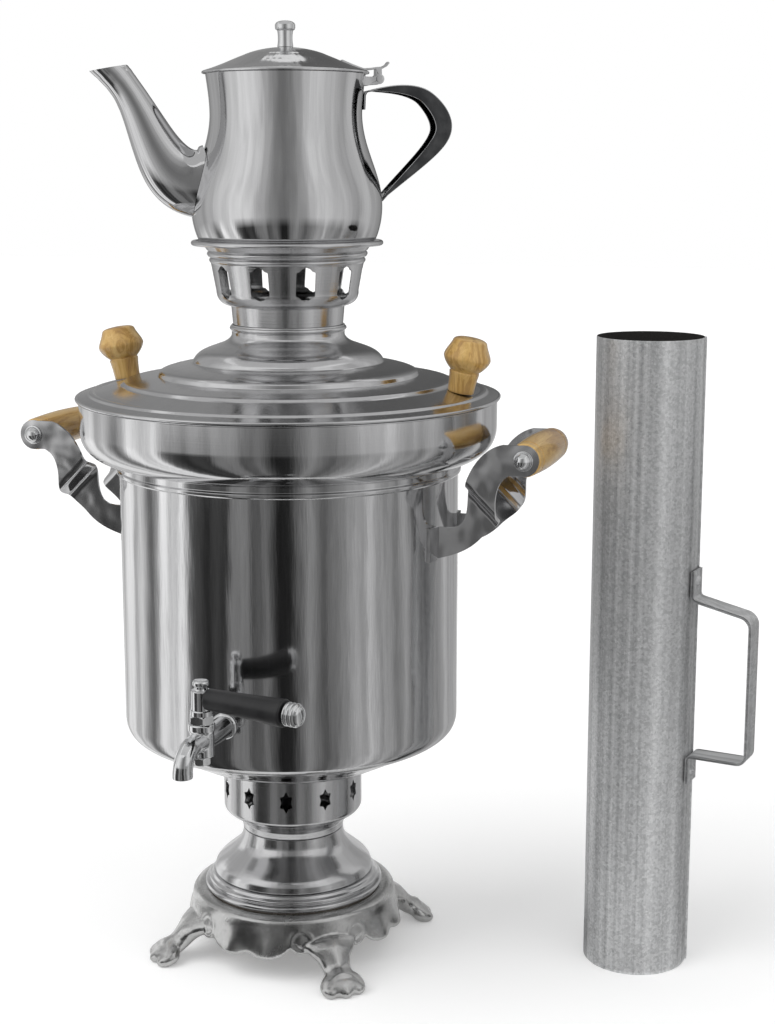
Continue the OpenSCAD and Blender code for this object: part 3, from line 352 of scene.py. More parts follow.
def dressed(node, mat, bevel=0.35):
    """A CAD node keeps its mesh and gets a finish, softened edges and smooth faces."""
    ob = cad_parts[node]
    ob.data.materials.clear()
    ob.data.materials.append(mat)
    for p in ob.data.polygons:
        p.use_smooth = True
        p.material_index = 0
    weld = ob.modifiers.new("weld", "WELD")
    weld.merge_threshold = 1e-5
    if bevel:
        bevelled(ob, bevel, 28)
    else:
        split = ob.modifiers.new("split", "EDGE_SPLIT")
        split.split_angle = math.radians(34)


# Node materials

class Nodes:
    """A node tree with short words for the nodes that the finishes use."""

    def __init__(self, tree):
        self.t = tree
        self.t.nodes.clear()

    def node(self, kind, props=None, **inputs):
        n = self.t.nodes.new(kind)
        for k, val in (props or {}).items():
            setattr(n, k, val)
        for k, val in inputs.items():
            self.put(n.inputs[int(k[1:]) if k[0] == "_" else k], val)
        return n

    def put(self, socket, val):
        if isinstance(val, bpy.types.NodeSocket):
            self.t.links.new(val, socket)
        else:
            socket.default_value = val

    def math(self, op, a, b=0.0):
        return self.node("ShaderNodeMath", {"operation": op}, _0=a, _1=b).outputs[0]

    def weighed(self, *pairs):
        """The sum of values, each times its weight."""
        parts = [self.math("MULTIPLY", value, weight) for value, weight in pairs]
        total = parts[0]
        for part in parts[1:]:
            total = self.math("ADD", total, part)
        return total

    def vector(self, op, vec, s):
        return self.node("ShaderNodeVectorMath", {"operation": op}, _0=vec, _1=s).outputs[0]

    def combine(self, x, y, z):
        return self.node("ShaderNodeCombineXYZ", _0=x, _1=y, _2=z).outputs[0]

    def separate(self, vec):
        return self.node("ShaderNodeSeparateXYZ", _0=vec).outputs

    def noise(self, vec, scale, detail=3.0, rough=0.5, distort=0.0):
        return self.node("ShaderNodeTexNoise", Vector=vec, Scale=scale, Detail=detail, Roughness=rough,
                         Distortion=distort).outputs[0]

    def cells(self, vec, scale):
        return self.node("ShaderNodeTexVoronoi", Vector=vec, Scale=scale).outputs

    def ramp(self, fac, stops, way="EASE"):
        n = self.node("ShaderNodeValToRGB", _0=fac)
        r = n.color_ramp
        r.interpolation = way
        while len(r.elements) < len(stops):
            r.elements.new(0.5)
        for e, (p, c) in zip(r.elements, stops):
            e.position = p
            e.color = (c, c, c, 1) if isinstance(c, (int, float)) else (*c, 1)
        return n.outputs[0]

    def graded(self, fac, base, stops):
        """One colour at several strengths."""
        return self.ramp(fac, [(p, tuple(c * k for c in base)) for p, k in stops])

    def span(self, fac, a, b, lo=0.0, hi=1.0):
        return self.node("ShaderNodeMapRange", _0=fac, _1=lo, _2=hi, _3=a, _4=b).outputs[0]

    def mix(self, fac, a, b, blend="MIX"):
        n = self.node("ShaderNodeMix", {"data_type": "RGBA", "blend_type": blend}, _0=fac)
        for socket, val in ((n.inputs[6], a), (n.inputs[7], b)):
            self.put(socket, val if isinstance(val, bpy.types.NodeSocket) else (*val, 1))
        return n.outputs[2]

    def dimmed(self, col, gain):
        return self.mix(1.0, col, self.combine(gain, gain, gain), "MULTIPLY")

    def bump(self, height, strength, distance, chain=None):
        n = self.node("ShaderNodeBump", Strength=strength, Distance=distance, Height=height)
        if chain:
            self.put(n.inputs["Normal"], chain)
        return n.outputs[0]


class Mat(Nodes):
    """A material with one principled shader."""

    def __init__(self, name):
        self.m = bpy.data.materials.new(name)
        self.m.use_nodes = True
        super().__init__(self.m.node_tree)
        self.shader = self.node("ShaderNodeBsdfPrincipled")
        self.out = self.node("ShaderNodeOutputMaterial", _0=self.shader.outputs[0])
        self.pos = self.node("ShaderNodeTexCoord").outputs["Object"]

    def set(self, **vals):
        for k, val in vals.items():
            self.put(self.shader.inputs[k.replace("_", " ")], val)

    def glow(self, col):
        """The whole material gives off its colour and nothing else."""
        self.put(self.out.inputs[0], self.node("ShaderNodeEmission", _0=col, _1=1.0).outputs[0])
        return self.m

    def axial(self, centre=(0, 0, 0)):
        """The way round the axis as a unit vector, the radius and the height, in metres."""
        p = self.vector("ADD", self.pos, tuple(-c * 0.001 for c in centre)) if any(centre) else self.pos
        x, y, z = self.separate(p)
        r = self.math("SQRT", self.math("ADD", self.math("MULTIPLY", x, x), self.math("MULTIPLY", y, y)))
        return self.math("DIVIDE", x, r), self.math("DIVIDE", y, r), r, z

    def scuffed(self, face, rough, strength, distance):
        """Polished metal with fine upright scuffs and a faint unevenness."""
        haze = self.noise(self.pos, 60.0, 4.0, 0.6)
        scuff = self.noise(self.vector("MULTIPLY", self.pos, (900, 900, 90)), 1.0, 3.0, 0.7)
        self.set(Base_Color=face(haze), Metallic=1.0, Roughness=self.span(scuff, *rough, 0.3, 0.75),
                 Normal=self.bump(haze, strength, distance))
        return self.m


def steel(name, streaks, rough, waves=0.0, spun=0.0, grain=0.15, dents=0.0):
    """Stainless sheet: upright streaks in the colour, partly rolling grain and partly painted reflection
    bands, turned lines where it was spun, and faint waves.
    """
    m = Mat(name)
    nx, ny, r, z = m.axial()
    way = m.combine(nx, ny, m.math("MULTIPLY", z, 0.7))
    wide = m.noise(way, 9.0, 4.0, 0.6)
    fine = m.noise(way, 70.0, 3.0, 0.6)
    patch = m.noise(m.pos, 22.0, 4.0, 0.6)
    # painted reflection: the upright streaks lighten and darken the base colour, partly as rolling grain and
    # partly standing in for reflected bands
    m.set(Base_Color=m.graded(m.weighed((wide, 0.6), (fine, 0.4)), (0.60, 0.60, 0.606),
                              [(0.3, 1 - streaks), (0.5, 1), (0.7, 1 + streaks)]),
          Metallic=1.0, Roughness=m.span(m.weighed((patch, 0.5), (fine, 0.5)), *rough, 0.3, 0.7))
    nrm = None
    if waves:
        wall = m.combine(nx, ny, m.math("MULTIPLY", z, 2.5))
        nrm = m.bump(m.noise(wall, 3.2, 2.0, 0.5), waves, 0.004)
    if dents:
        nrm = m.bump(m.noise(m.pos, 24.0, 2.0, 0.5), dents, 0.006, nrm)
    nrm = m.bump(fine, grain, 0.0002, nrm)
    if spun:
        nrm = m.bump(m.noise(m.combine(0.0, r, z), 900.0, 4.0, 0.65), spun, 0.00012, nrm)
    m.set(Normal=nrm)
    return m.m


def cast_metal():
    m = Mat("cast_aluminium")
    skin = m.noise(m.pos, 420.0, 4.0, 0.6)
    broad = m.noise(m.pos, 38.0, 4.0, 0.55)
    pits = m.cells(m.pos, 260.0)["Distance"]
    m.set(Base_Color=m.ramp(m.weighed((broad, 0.7), (skin, 0.3)),
                            [(0.3, (0.42, 0.42, 0.415)), (0.52, (0.56, 0.56, 0.555)),
                             (0.72, (0.68, 0.68, 0.675))]),
          Metallic=1.0, Roughness=m.span(broad, 0.17, 0.30, 0.3, 0.7))
    nrm = m.bump(skin, 0.30, 0.00025, m.bump(broad, 0.22, 0.0012))
    m.set(Normal=m.bump(m.ramp(pits, [(0.0, 0.0), (0.25, 1.0)]), 0.10, 0.0002, nrm))
    return m.m


def chrome():
    m = Mat("chrome")
    return m.scuffed(lambda haze: m.ramp(haze, [(0.3, (0.66, 0.665, 0.67)), (0.7, (0.78, 0.785, 0.79))]),
                     (0.05, 0.13), 0.12, 0.0006)


def strap_steel():
    """The teapot's handle strap: bright face, and folded edges that face sideways painted near black as a
    painted dark reflection.
    """
    m = Mat("bright_steel_strap")
    nx, ny, _ = m.separate(m.node("ShaderNodeTexCoord").outputs["Normal"])
    turned_by = math.radians(pot_turn)
    sideways = m.math("ABSOLUTE", m.weighed((nx, math.sin(turned_by)), (ny, -math.cos(turned_by))))
    # painted reflection: faces turned sideways, the folded edges, are mixed to a near-black colour
    fold = m.span(sideways, 0.0, 1.0, 0.80, 0.94)

    def face(haze):
        return m.mix(fold, m.ramp(haze, [(0.3, (0.60, 0.605, 0.61)), (0.7, (0.72, 0.725, 0.73))]),
                     m.ramp(haze, [(0.3, (0.040, 0.041, 0.043)), (0.7, (0.075, 0.076, 0.078))]))
    return m.scuffed(face, (0.08, 0.16), 0.10, 0.0005)


def galvanised(inside=0.0):
    """Zinc-coated sheet: a fine grain over small spangles, faint upright bands and a near-black inner side.
    """
    m = Mat("zinc_coated_steel")
    nx, ny, r, z = m.axial((pipe_x, pipe_y, 0))
    round_way = m.combine(m.math("MULTIPLY", nx, 0.04), m.math("MULTIPLY", ny, 0.04), z)
    shade = m.separate(m.cells(m.vector("ADD", round_way, (0.3, 0.2, 0.1)), 560.0)["Color"])[0]
    grain = m.noise(round_way, 1500.0, 3.0, 0.7)
    bands = m.noise(m.combine(nx, ny, m.math("MULTIPLY", z, 0.12)), 7.0, 3.0, 0.6)
    col = m.ramp(m.weighed((grain, 0.36), (bands, 0.50), (shade, 0.14)),
                 [(0.34, (0.34, 0.345, 0.35)), (0.46, (0.50, 0.505, 0.51)), (0.56, (0.64, 0.645, 0.65)),
                  (0.68, (0.80, 0.805, 0.81))])
    # painted bounce light: the colour is brighter towards the bottom and darker higher up, standing in for
    # light from the floor
    col = m.dimmed(col, m.span(z, 1.16, 0.84, 0.02, 0.30))
    rough, metal = m.span(shade, 0.34, 0.46), 0.5
    if inside:
        # inside the given radius the colour goes near black, rougher and less metallic
        within = m.math("LESS_THAN", r, inside)
        near_black_inside = m.ramp(grain, [(0.3, (0.012, 0.011, 0.010)), (0.7, (0.032, 0.030, 0.028))])
        col = m.mix(within, col, near_black_inside)
        rough = m.math("ADD", rough, m.math("MULTIPLY", within, 0.35))
        metal = m.math("SUBTRACT", metal, m.math("MULTIPLY", within, 0.4))
    m.set(Base_Color=col, Metallic=metal, Roughness=rough)
    m.set(Normal=m.bump(shade, 0.08, 0.0001, m.bump(grain, 0.16, 0.00012)))
    return m.m


def varnished_wood(tag, axis, seed):
    """Turned softwood under clear varnish, with its grain along axis."""
    m = Mat("varnished_wood_" + tag)
    along = tuple(9 if a == axis else 60 for a in "xyz")
    p = m.vector("ADD", m.pos, (seed, seed * 0.7, -seed * 0.4))
    wob = m.noise(p, 24.0, 2.0, 0.5)
    rings = m.noise(m.vector("MULTIPLY", p, along), 1.5, 4.0, 0.62, 1.1)
    pores = m.noise(m.vector("MULTIPLY", p, tuple(a * 14 for a in along)), 1.0, 2.0, 0.6)
    grain = m.ramp(rings, [(0.30, (0.27, 0.125, 0.02)), (0.42, (0.45, 0.25, 0.055)),
                           (0.52, (0.60, 0.37, 0.105)), (0.66, (0.70, 0.47, 0.16))])
    col = m.mix(m.span(pores, 0.0, 0.3, 0.52, 0.75), grain, (0.27, 0.13, 0.03))
    col = m.mix(m.span(wob, 0.0, 0.2, 0.4, 0.8), col, (0.55, 0.27, 0.05))
    m.set(Base_Color=col, Roughness=m.span(pores, 0.34, 0.5), Coat_Weight=0.8, Coat_Roughness=0.07)
    m.set(Normal=m.bump(rings, 0.12, 0.0004, m.bump(pores, 0.08, 0.0001)))
    return m.m


def black_plastic():
    m = Mat("black_plastic")
    grain = m.noise(m.pos, 1400.0, 3.0, 0.6)
    wear = m.noise(m.pos, 45.0, 5.0, 0.62)
    m.set(Base_Color=m.ramp(wear, [(0.3, (0.006, 0.006, 0.007)), (0.7, (0.016, 0.016, 0.017))]),
          Roughness=m.span(wear, 0.30, 0.48, 0.3, 0.7), Normal=m.bump(grain, 0.22, 0.00015))
    return m.m


def fired_iron(name, base, flakes, rough):
    m = Mat(name)
    scale = m.noise(m.pos, 30.0, 6.0, 0.65)
    fine = m.noise(m.pos, 500.0, 4.0, 0.65)
    m.set(Base_Color=m.graded(m.weighed((scale, 0.6), (fine, 0.4)), base,
                              [(0.3, 0.55), (0.5, 1), (0.72, 1.35)]),
          Metallic=0.85, Roughness=m.span(scale, rough, rough + 0.2, 0.3, 0.7),
          Normal=m.bump(fine, 0.35, 0.0003, m.bump(scale, 0.25, flakes)))
    return m.m


def plain_metal(name, base, rough):
    m = Mat(name)
    patch = m.noise(m.pos, 90.0, 5.0, 0.6)
    m.set(Base_Color=m.graded(patch, base, [(0.3, 0.84), (0.5, 1), (0.7, 1.1)]), Metallic=1.0,
          Roughness=m.span(patch, rough * 0.75, rough * 1.25, 0.3, 0.7),
          Normal=m.bump(m.noise(m.pos, 1100.0, 3.0, 0.6), 0.10, 0.0001))
    return m.m


def rubber():
    m = Mat("gasket_rubber")
    a = m.noise(m.pos, 900.0, 4.0, 0.6)
    m.set(Base_Color=m.ramp(a, [(0.3, (0.012, 0.012, 0.012)), (0.7, (0.028, 0.027, 0.026))]),
          Roughness=m.span(a, 0.62, 0.85), Normal=m.bump(a, 0.3, 0.0002))
    return m.m


wall_steel = steel("bright_steel_wall", 0.14, (0.06, 0.12), 0.22)
bowl_steel = steel("bright_steel_bowl", 0.10, (0.07, 0.13), 0.15, 0.10)
lid_steel = steel("bright_steel_lid", 0.06, (0.11, 0.18), 0.10, 0.35)
turned_steel = steel("spun_steel_turned", 0.06, (0.12, 0.22), 0.12, 0.55)
pot_steel = steel("bright_steel_pot", 0.05, (0.05, 0.10), 0.16, 0.06, grain=0.08)
plate_steel = steel("bright_steel_plate", 0.05, (0.08, 0.15), grain=0.10, dents=0.5)
casting_metal = cast_metal()
chromium = chrome()
zinc = galvanised()
tube_zinc = galvanised((pipe_r - pipe_sheet * 0.6) * 0.001)
black = black_plastic()
fire_steel = fired_iron("fire_steel", (0.16, 0.14, 0.12), 0.0008, 0.42)
grate_iron = fired_iron("grate_iron", (0.075, 0.07, 0.068), 0.0015, 0.55)
screw_steel = plain_metal("fastener_steel", (0.60, 0.60, 0.61), 0.22)
nut_brass = plain_metal("nut_brass", (0.66, 0.47, 0.20), 0.28)
gasket = rubber()

# Camera: the photograph's own angle, and the stage

scene = bpy.context.scene
cam_data = bpy.data.cameras.new("camera")
cam_data.lens = 83.6
cam_data.sensor_width = 36
cam_data.sensor_fit = "HORIZONTAL"
cam_data.clip_start = 0.05
cam = bpy.data.objects.new("camera", cam_data)
scene.collection.objects.link(cam)
cam.location = (0.497, -1.2207, 0.594)
cam.rotation_euler = (math.radians(90 - camera_down), 0, math.radians(camera_round))
scene.camera = cam
scene.view_settings.view_transform = "Standard"


def sky():
    """White where the camera or polished metal looks at it, and half as strong as a light."""
    world = bpy.data.worlds.new("studio")
    scene.world = world
    world.use_nodes = True
    n = Nodes(world.node_tree)
    rays = n.node("ShaderNodeLightPath").outputs
    seen = n.math("MAXIMUM", rays["Is Camera Ray"], rays["Is Glossy Ray"])
    seen = n.math("MAXIMUM", seen, rays["Is Transmission Ray"])
    light = n.node("ShaderNodeBackground", _0=(1, 1, 1, 1), _1=n.span(seen, 0.5, 1.0))
    n.node("ShaderNodeOutputWorld", _0=light.outputs[0])


sky()


def floor_material():
    m = Mat("studio_floor")
    rays = m.node("ShaderNodeLightPath").outputs
    m.set(Base_Color=m.ramp(m.noise(m.pos, 3.0), [(0.3, (0.90, 0.90, 0.90)), (0.7, (0.92, 0.92, 0.92))]),
          Roughness=0.9, Specular_IOR_Level=0.0, Emission_Color=(1, 1, 1, 1),
          Emission_Strength=m.weighed((rays["Is Camera Ray"], 0.24), (rays["Is Glossy Ray"], 0.06)))
    return m.m


def card_material():
    """Grey cards of a studio tent, side by side round the object; only polished metal sees them."""
    m = Mat("studio_cards")
    x, y, z = m.separate(m.pos)
    around = m.math("ARCTAN2", x, m.math("MULTIPLY", y, -1.0))
    turns = m.math("DIVIDE", m.math("SUBTRACT", around, math.radians(camera_round)), 2 * math.pi)
    fac = m.math("FRACT", m.math("ADD", turns, 1.5))

    def cards(*stops):
        """A grey for each angle round from the camera, in degrees."""
        return m.ramp(fac, [((deg + 180) / 360, grey) for deg, grey in stops], "LINEAR")
    low = cards((-180, 0.85), (-150, 0.66), (-124, 0.98), (-108, 0.95), (-101, 0.42), (-93, 0.22),
                (-87, 0.55), (-83, 1.1), (-66, 1.05), (-61, 0.16), (-52, 0.05), (-36, 0.06), (-31, 0.26),
                (-25, 0.26), (-19, 0.10), (-11, 0.22), (-3, 0.02), (4, 0.03), (12, 0.26), (24, 0.16),
                (34, 0.30), (46, 0.62), (62, 0.50), (72, 0.30), (80, 0.36), (87, 0.05), (99, 0.06),
                (106, 0.34), (122, 0.52), (146, 0.50), (162, 0.75))
    high = cards((-180, 0.40), (-154, 0.28), (-140, 0.50), (-112, 0.52), (-92, 0.70), (-74, 0.92),
                 (-56, 1.05), (-38, 0.92), (-28, 0.56), (-12, 0.34), (0, 0.22), (12, 0.32), (26, 0.52),
                 (38, 0.86), (56, 0.86), (74, 0.66), (92, 0.50), (112, 0.66), (134, 0.52), (152, 0.34),
                 (166, 0.14))
    up = m.span(z, 0.0, 1.0, 0.27, 0.40)
    streak = m.noise(m.combine(m.math("MULTIPLY", turns, 40.0), 0.0, m.math("MULTIPLY", z, 0.6)), 1.0,
                     3.0, 0.6)
    gain = m.span(streak, 0.45, 1.5, 0.3, 0.7)
    gain = m.math("ADD", gain, m.math("MULTIPLY", m.math("MULTIPLY", up, 0.7),
                                      m.math("SUBTRACT", 0.97, gain)))
    return m.glow(m.dimmed(m.mix(up, low, high), gain))


def staged(name, shape, mat):
    ob = mesh_piece(name, shape, mat=mat)
    return ob


def square(half, z):
    return [v(-half, -half, z), v(half, -half, z), v(half, half, z), v(-half, half, z)], [(0, 1, 2, 3)]


def tent():
    """A bowl of cards, open at its foot, and its ceiling."""
    rows = [[polar(r, 360 * k / 96, z) for k in range(96)]
            for r, z in ((150, 1), (430, 3), (820, 420), (1150, 1100), (1250, 1700))]
    cards = staged("studio_cards", stacked(rows, False), card_material())
    ceiling = staged("studio_ceiling", square(1000, 1710), Mat("studio_ceiling").glow((0.62, 0.62, 0.62, 1)))
    for ob in (cards, ceiling):
        ob.visible_camera = False
        ob.visible_diffuse = False
        ob.visible_shadow = False
        ob.visible_transmission = False


def lamp(name, toward, spread, strength):
    """A broad soft source, the same all over the floor."""
    d = bpy.data.lights.new(name, "SUN")
    d.angle = math.radians(spread)
    d.energy = strength
    ob = bpy.data.objects.new(name, d)
    scene.collection.objects.link(ob)
    ob.rotation_euler = Vector(toward).to_track_quat("-Z", "Y").to_euler()
    ob.visible_glossy = False


staged("floor", square(9000, 0), floor_material())
tent()
lamp("key", (0.62, 0.55, -1.0), 50, 1.35)
lamp("fill", (-0.8, 0.6, -0.9), 70, 0.55)

# Base: casting, ring, stem and pierced neck

screw_pitch = ring_r - 9
z_band = z_waist + neck_curve_h
apron_low, scallop_z = base_h - 29, base_h - 17
apron_line = curve([apron_r, apron_low - 1], [apron_r, base_h - 20], [base_r + 1, base_h - 16],
                   [base_r, base_h - 8], 14)
apron_line += curve([base_r, base_h - 8], [base_r, base_h - 3], [base_r - 2, base_h], [base_r - 6, base_h],
                    6, 1)
apron_rs, apron_zs = zip(*apron_line)


def apron_at(z):
    return float(np.interp(z, apron_zs, apron_rs))


def apron_edge(deg):
    """Height of the apron's lower edge, deg from the middle of the space between two legs."""
    best = scallop_z
    for c in (-9.6, 9.6):
        d = abs(math.radians(deg - c) * apron_r) / 20.5
        if d < 1:
            best = min(best, scallop_z - (scallop_z - apron_low) * (1 - d ** 2.4) ** 0.55)
    return best


def apron():
    """The skirt, its scallops folded in and out, as one ring of closed sections."""
    rows, top_r, shoulder = 22, screw_pitch - 5, 6
    sections = []
    for deg in range(360):
        rel = (deg - (foot_turn - 90) + 360) % 90 - 45
        low = apron_edge(rel)
        outer, inner = [], []
        for i in range(rows + 1):
            z = low + (base_h - 0.05 - low) * i / rows
            fold = -1.5 * math.cos(math.radians(rel * 17)) * max(0.0, 1 - (z - apron_low) / 19)
            fold *= max(0, 1 - (rel / 26) ** 4)
            r = apron_at(z)
            if z > base_h - 3:
                r = min(r,
                        base_r - shoulder + math.sqrt(max(0, shoulder ** 2 - (z - base_h + shoulder) ** 2)))
            zi = min(z, base_h - cast_wall)
            outer.append(polar(min(r + fold, apron_r + 1.4), deg, z))
            inner.append(polar(apron_at(zi) - cast_wall + fold * 0.6, deg, zi))
        outer.append(polar(top_r, deg, base_h))
        inner.append(polar(top_r, deg, base_h - cast_wall))
        sections.append(outer + inner[::-1])
    m = len(sections[0])
    verts, faces = stacked(sections, False)
    last = 359 * m
    faces += [[last + k, last + (k + 1) % m, (k + 1) % m, k] for k in range(m)]
    return verts, faces


def blob(size, *steps):
    """An egg shape with the given half sizes."""
    shape = turned(arc([0, 0], 1, -90, 90), 24, lambda p: p * np.array(size))
    return moved(shape, *steps)


def leg(at):
    """The leg that grows out of the apron, as flattened rings: x, z, half width, half thickness and fall."""
    stations = np.array([
        (apron_r - 9, base_h - 20, 21.5, 7.0, 16), (apron_r - 4, base_h - 21.6, 20, 7.2, 28),
        (apron_r + 0.5, base_h - 24.6, 16.6, 7, 42), (apron_r + 4.5, base_h - 29, 12.4, 6.8, 48),
        (apron_r + 8.5, base_h - 33.4, 10.6, 6.5, 44), (apron_r + 12.5, base_h - 36.4, 10.4, 6.3, 28),
        (apron_r + 17, base_h - 38.2, 11.6, 6.3, 16), (apron_r + 21.5, base_h - 39.6, 13, 6.0, 10)])
    rows = []
    for i in range(4 * len(stations) - 3):
        x, z, half_w, half_t, fall = (np.interp(i / 4, range(len(stations)), col) for col in stations.T)
        f = math.radians(fall)
        row = []
        for k in range(28):
            c, s = polar(1, 360 * k / 28)
            up = half_t * s + 1.3 * math.exp(-(c * 2.8) ** 2) * (s > 0)
            row.append(v(x + up * math.sin(f), half_w * math.copysign(abs(c) ** 0.85, c),
                         z + up * math.cos(f)))
        rows.append(row)
    return moved(stacked(rows), at)


def paw(at):
    toes = [blob((9.4, 6.9, 5.2), at, shift(foot_reach - 9.9 - 2.6 * abs(s), s * 10.2, 5.0), turn("Y", 18))
            for s in (-1, 0, 1)]
    return toes + [blob((11.6, 16, 6.6), at, shift(foot_reach - 13.6, 0, 7.2), turn("Y", 28))]


def rosette(at):
    line = pts([0, -5], [9.4, -5], [9.4, -0.2], [8.8, 0.6], [7.9, 1.0], [7.0, 0.8], [6.2, 0.2], [5.2, 0.1],
               [4.2, 0.5], [3.0, 0.8], [1.4, 0.9], [0, 0.9])
    return moved(turned(line, 36), at, shift(base_r + 1.2, 0, base_h - 16.5), turn("Y", 80))


def casting():
    shapes = [apron()]
    for k in range(4):
        a = foot_turn - 90 + 90 * k
        at = turn("Z", a)
        shapes += [leg(at)] + paw(at) + [rosette(turn("Z", a + s)) for s in (-16, 16)]
    ob = mesh_piece("base_casting_cast", joined(*shapes))
    fused(ob, 0.00105, 6)
    for p in ob.data.vertices:
        p.co.z = min(max(p.co.z, 0.00002), base_h * 0.001)
    ob.data.materials.append(casting_metal)
    placed(ob, "urn", ["base_casting"])


casting()

base_in_r = screw_pitch - 5
foot = [v(base_in_r, z_ring), v(ring_r - 1.2, z_ring)]
wall = arc([ring_r - 2.2, z_ring + 2.2], 2.2, -60, 60, 12) + [v(ring_r - 3.6, z_ring + 4.6)]
wall += arc([ring_r - 4.6, z_ring + 6.4], 1.6, -50, 70, 10)
wall += curve([ring_r - 5, z_ring + 8.4], [ring_r - 6, z_ring + 9.4], [stem_r + 2, z_stem],
              [stem_r - 1, z_stem], 8, 1)
wall += [v(stem_r - 6, z_stem)]
under = [v(ring_r - 3, z_ring + sheet), v(base_in_r, z_ring + sheet)]
lathe("base_ring_spun", foot + wall + shifted(wall, -sheet)[::-1] + under, "urn", ["base_ring"],
      turned_steel)

collar_r = waist_r - sheet - seat
stem = arc([stem_r - 1.5, z_stem + 1.6], 1.5, -90, 30, 8)
stem += curve([stem_r - 0.4, z_stem + 3.4], [stem_r - 1, z_stem + 9], [waist_r + 14, z_stem + 13],
              [waist_r + 6, z_stem + 20], 20)
stem += curve([waist_r + 6, z_stem + 20], [waist_r + 2, z_stem + 24], [waist_r, z_stem + 28],
              [waist_r, z_waist - 1], 14, 1)
stem += [v(collar_r, z_waist - 0.6), v(collar_r, z_waist + 7)]
shell("stem_shell_spun", stem, sheet, "urn", ["stem_shell"], turned_steel)


def star(w, h):
    """Six points and the hollows between them."""
    points = [polar(0.5 if i % 2 == 0 else 0.33, 90 - i * 30) for i in range(12)]
    return [v(p[0] * w, p[1] * h) for p in points]


def through(outline, soft, r, z, far, deg):
    """A cutter: a small outline with soft corners, raised outwards from radius r on, at deg."""
    return moved(prism(rounded(outline, soft, 10), 0, far), turn("Z", deg), shift(r, 0, z), turn("Z", 90),
                 turn("X", 90))


neck = [v(waist_r, z_waist), v(waist_r + 1.2, z_waist + 5)]
neck += curve([waist_r + 1.2, z_waist + 5], [waist_r + 4, z_waist + 12], [neck_r, z_waist + 12],
              [neck_r, z_band], 18, 1)
neck += [v(neck_r, z_neck - 0.6), v(neck_r - 0.6, z_neck), v(fire_r - 6, z_neck)]
band_ob = shell("neck_band_spun", neck, sheet, "urn", ["neck_band"], turned_steel)
star_angles = [180 / star_count - 90 + 360 * k / star_count for k in range(star_count)]
cut(band_ob, *[through(star(star_w, star_h), 0.7, neck_r - 6, z_neck - neck_band_h / 2, 12, deg)
               for deg in star_angles])

# Firebox, tank and bowl

fire_top = z_neck + fire_h
fire = [v(fire_r, z_neck + seat), v(fire_r - 1.5, z_neck + fire_h * 0.35)]
fire += curve([fire_r - 1.5, z_neck + fire_h * 0.35], [fire_r - 3, z_neck + fire_h * 0.65],
              [flue_r, z_neck + fire_h * 0.72], [flue_r, fire_top], 20, 1)
fire += [v(flue_r, z_flue)]
shell("firebox_tube", fire, fire_wall, "urn", ["firebox"], fire_steel, 128)

knee = v(tank_r - 19, z_neck + tank_dish * 0.55)
ridge = v(knee[0] - 24, z_neck + tank_dish * 0.27)
tank = [v(fire_r + seat, z_neck + seat), v(neck_r - 1, z_neck + seat)]
tank += curve([neck_r - 1, z_neck + seat], [neck_r + 4, z_neck + 1], [neck_r + 6, z_neck + 4.6],
              ridge - v(9, 4.6), 14, 1)
tank += curve(ridge - v(9, 4.6), ridge - v(4, 3.2), ridge - v(1.5, 1.6), ridge, 8, 1)
tank += curve(ridge, ridge + v(7, 1.6), knee - v(10, 4), knee, 12, 1)
tank += curve(knee, knee + v(10, 4), [tank_r, z_wall - 13], [tank_r, z_wall], 22, 1)
tank += [v(tank_r, z_bowl)]
shell("tank_spun", tank, sheet, "urn", ["tank"], wall_steel, 256)

lid_r = bowl_r + lid_over
bead_r, curl_r = 1.1, 1.2
bell_foot_r = 95
cone_slope = lid_cone_h / (lid_r - bell_foot_r)


def cone_z(r):
    return z_rim + cone_slope * (lid_r - r)


def on_cone(r, up=0.0):
    return v(r, cone_z(r) + up)


curl_at = lid_r - curl_r
curl_z = cone_z(curl_at) - 0.9
lip_r = tank_r + seat + sheet
bead_at = bowl_r - sheet + bead_r
bead_z = curl_z - math.sqrt((curl_r + bead_r + 0.3) ** 2 - (curl_at - bead_at) ** 2)
bowl = pts([lip_r, z_bowl - seam_h], [lip_r + 0.9, z_bowl - seam_h + 1.2],
           [lip_r + 0.9, z_bowl - seam_h + 3.2], [lip_r, z_bowl - seam_h + 4.4], [lip_r, z_bowl - 0.5])
bowl += curve([lip_r + 0.5, z_bowl], [lip_r + 15, z_bowl + 2], [bowl_r, z_bowl + 9], [bowl_r, z_bowl + 25],
              24)
bowl += [v(bowl_r, bead_z)]
bead = arc([bead_at, bead_z], bead_r, 10, 200, 12)
lathe("bowl_spun", bowl + bead + shifted(bowl, -sheet)[::-1], "urn", ["bowl"], bowl_steel,
      256, 0.2)

# Side handles, lid and knobs

def grooved(line, levels, deep, wide):
    """Adds points so that a turned outline carries a shallow groove at each level."""
    out = []
    for a, b in zip(line, line[1:]):
        out.append(a)
        for z in levels:
            if min(a[1], b[1]) < z <= max(a[1], b[1]) and abs(b[1] - a[1]) > 1e-6:
                r = a[0] + (b[0] - a[0]) * (z - a[1]) / (b[1] - a[1])
                out += [v(r - deep * k, z + d * wide)
                        for d, k in ((-1, 0), (-0.5, 0.8), (0, 1), (0.5, 0.8), (1, 0))]
    out.append(line[-1])
    return out


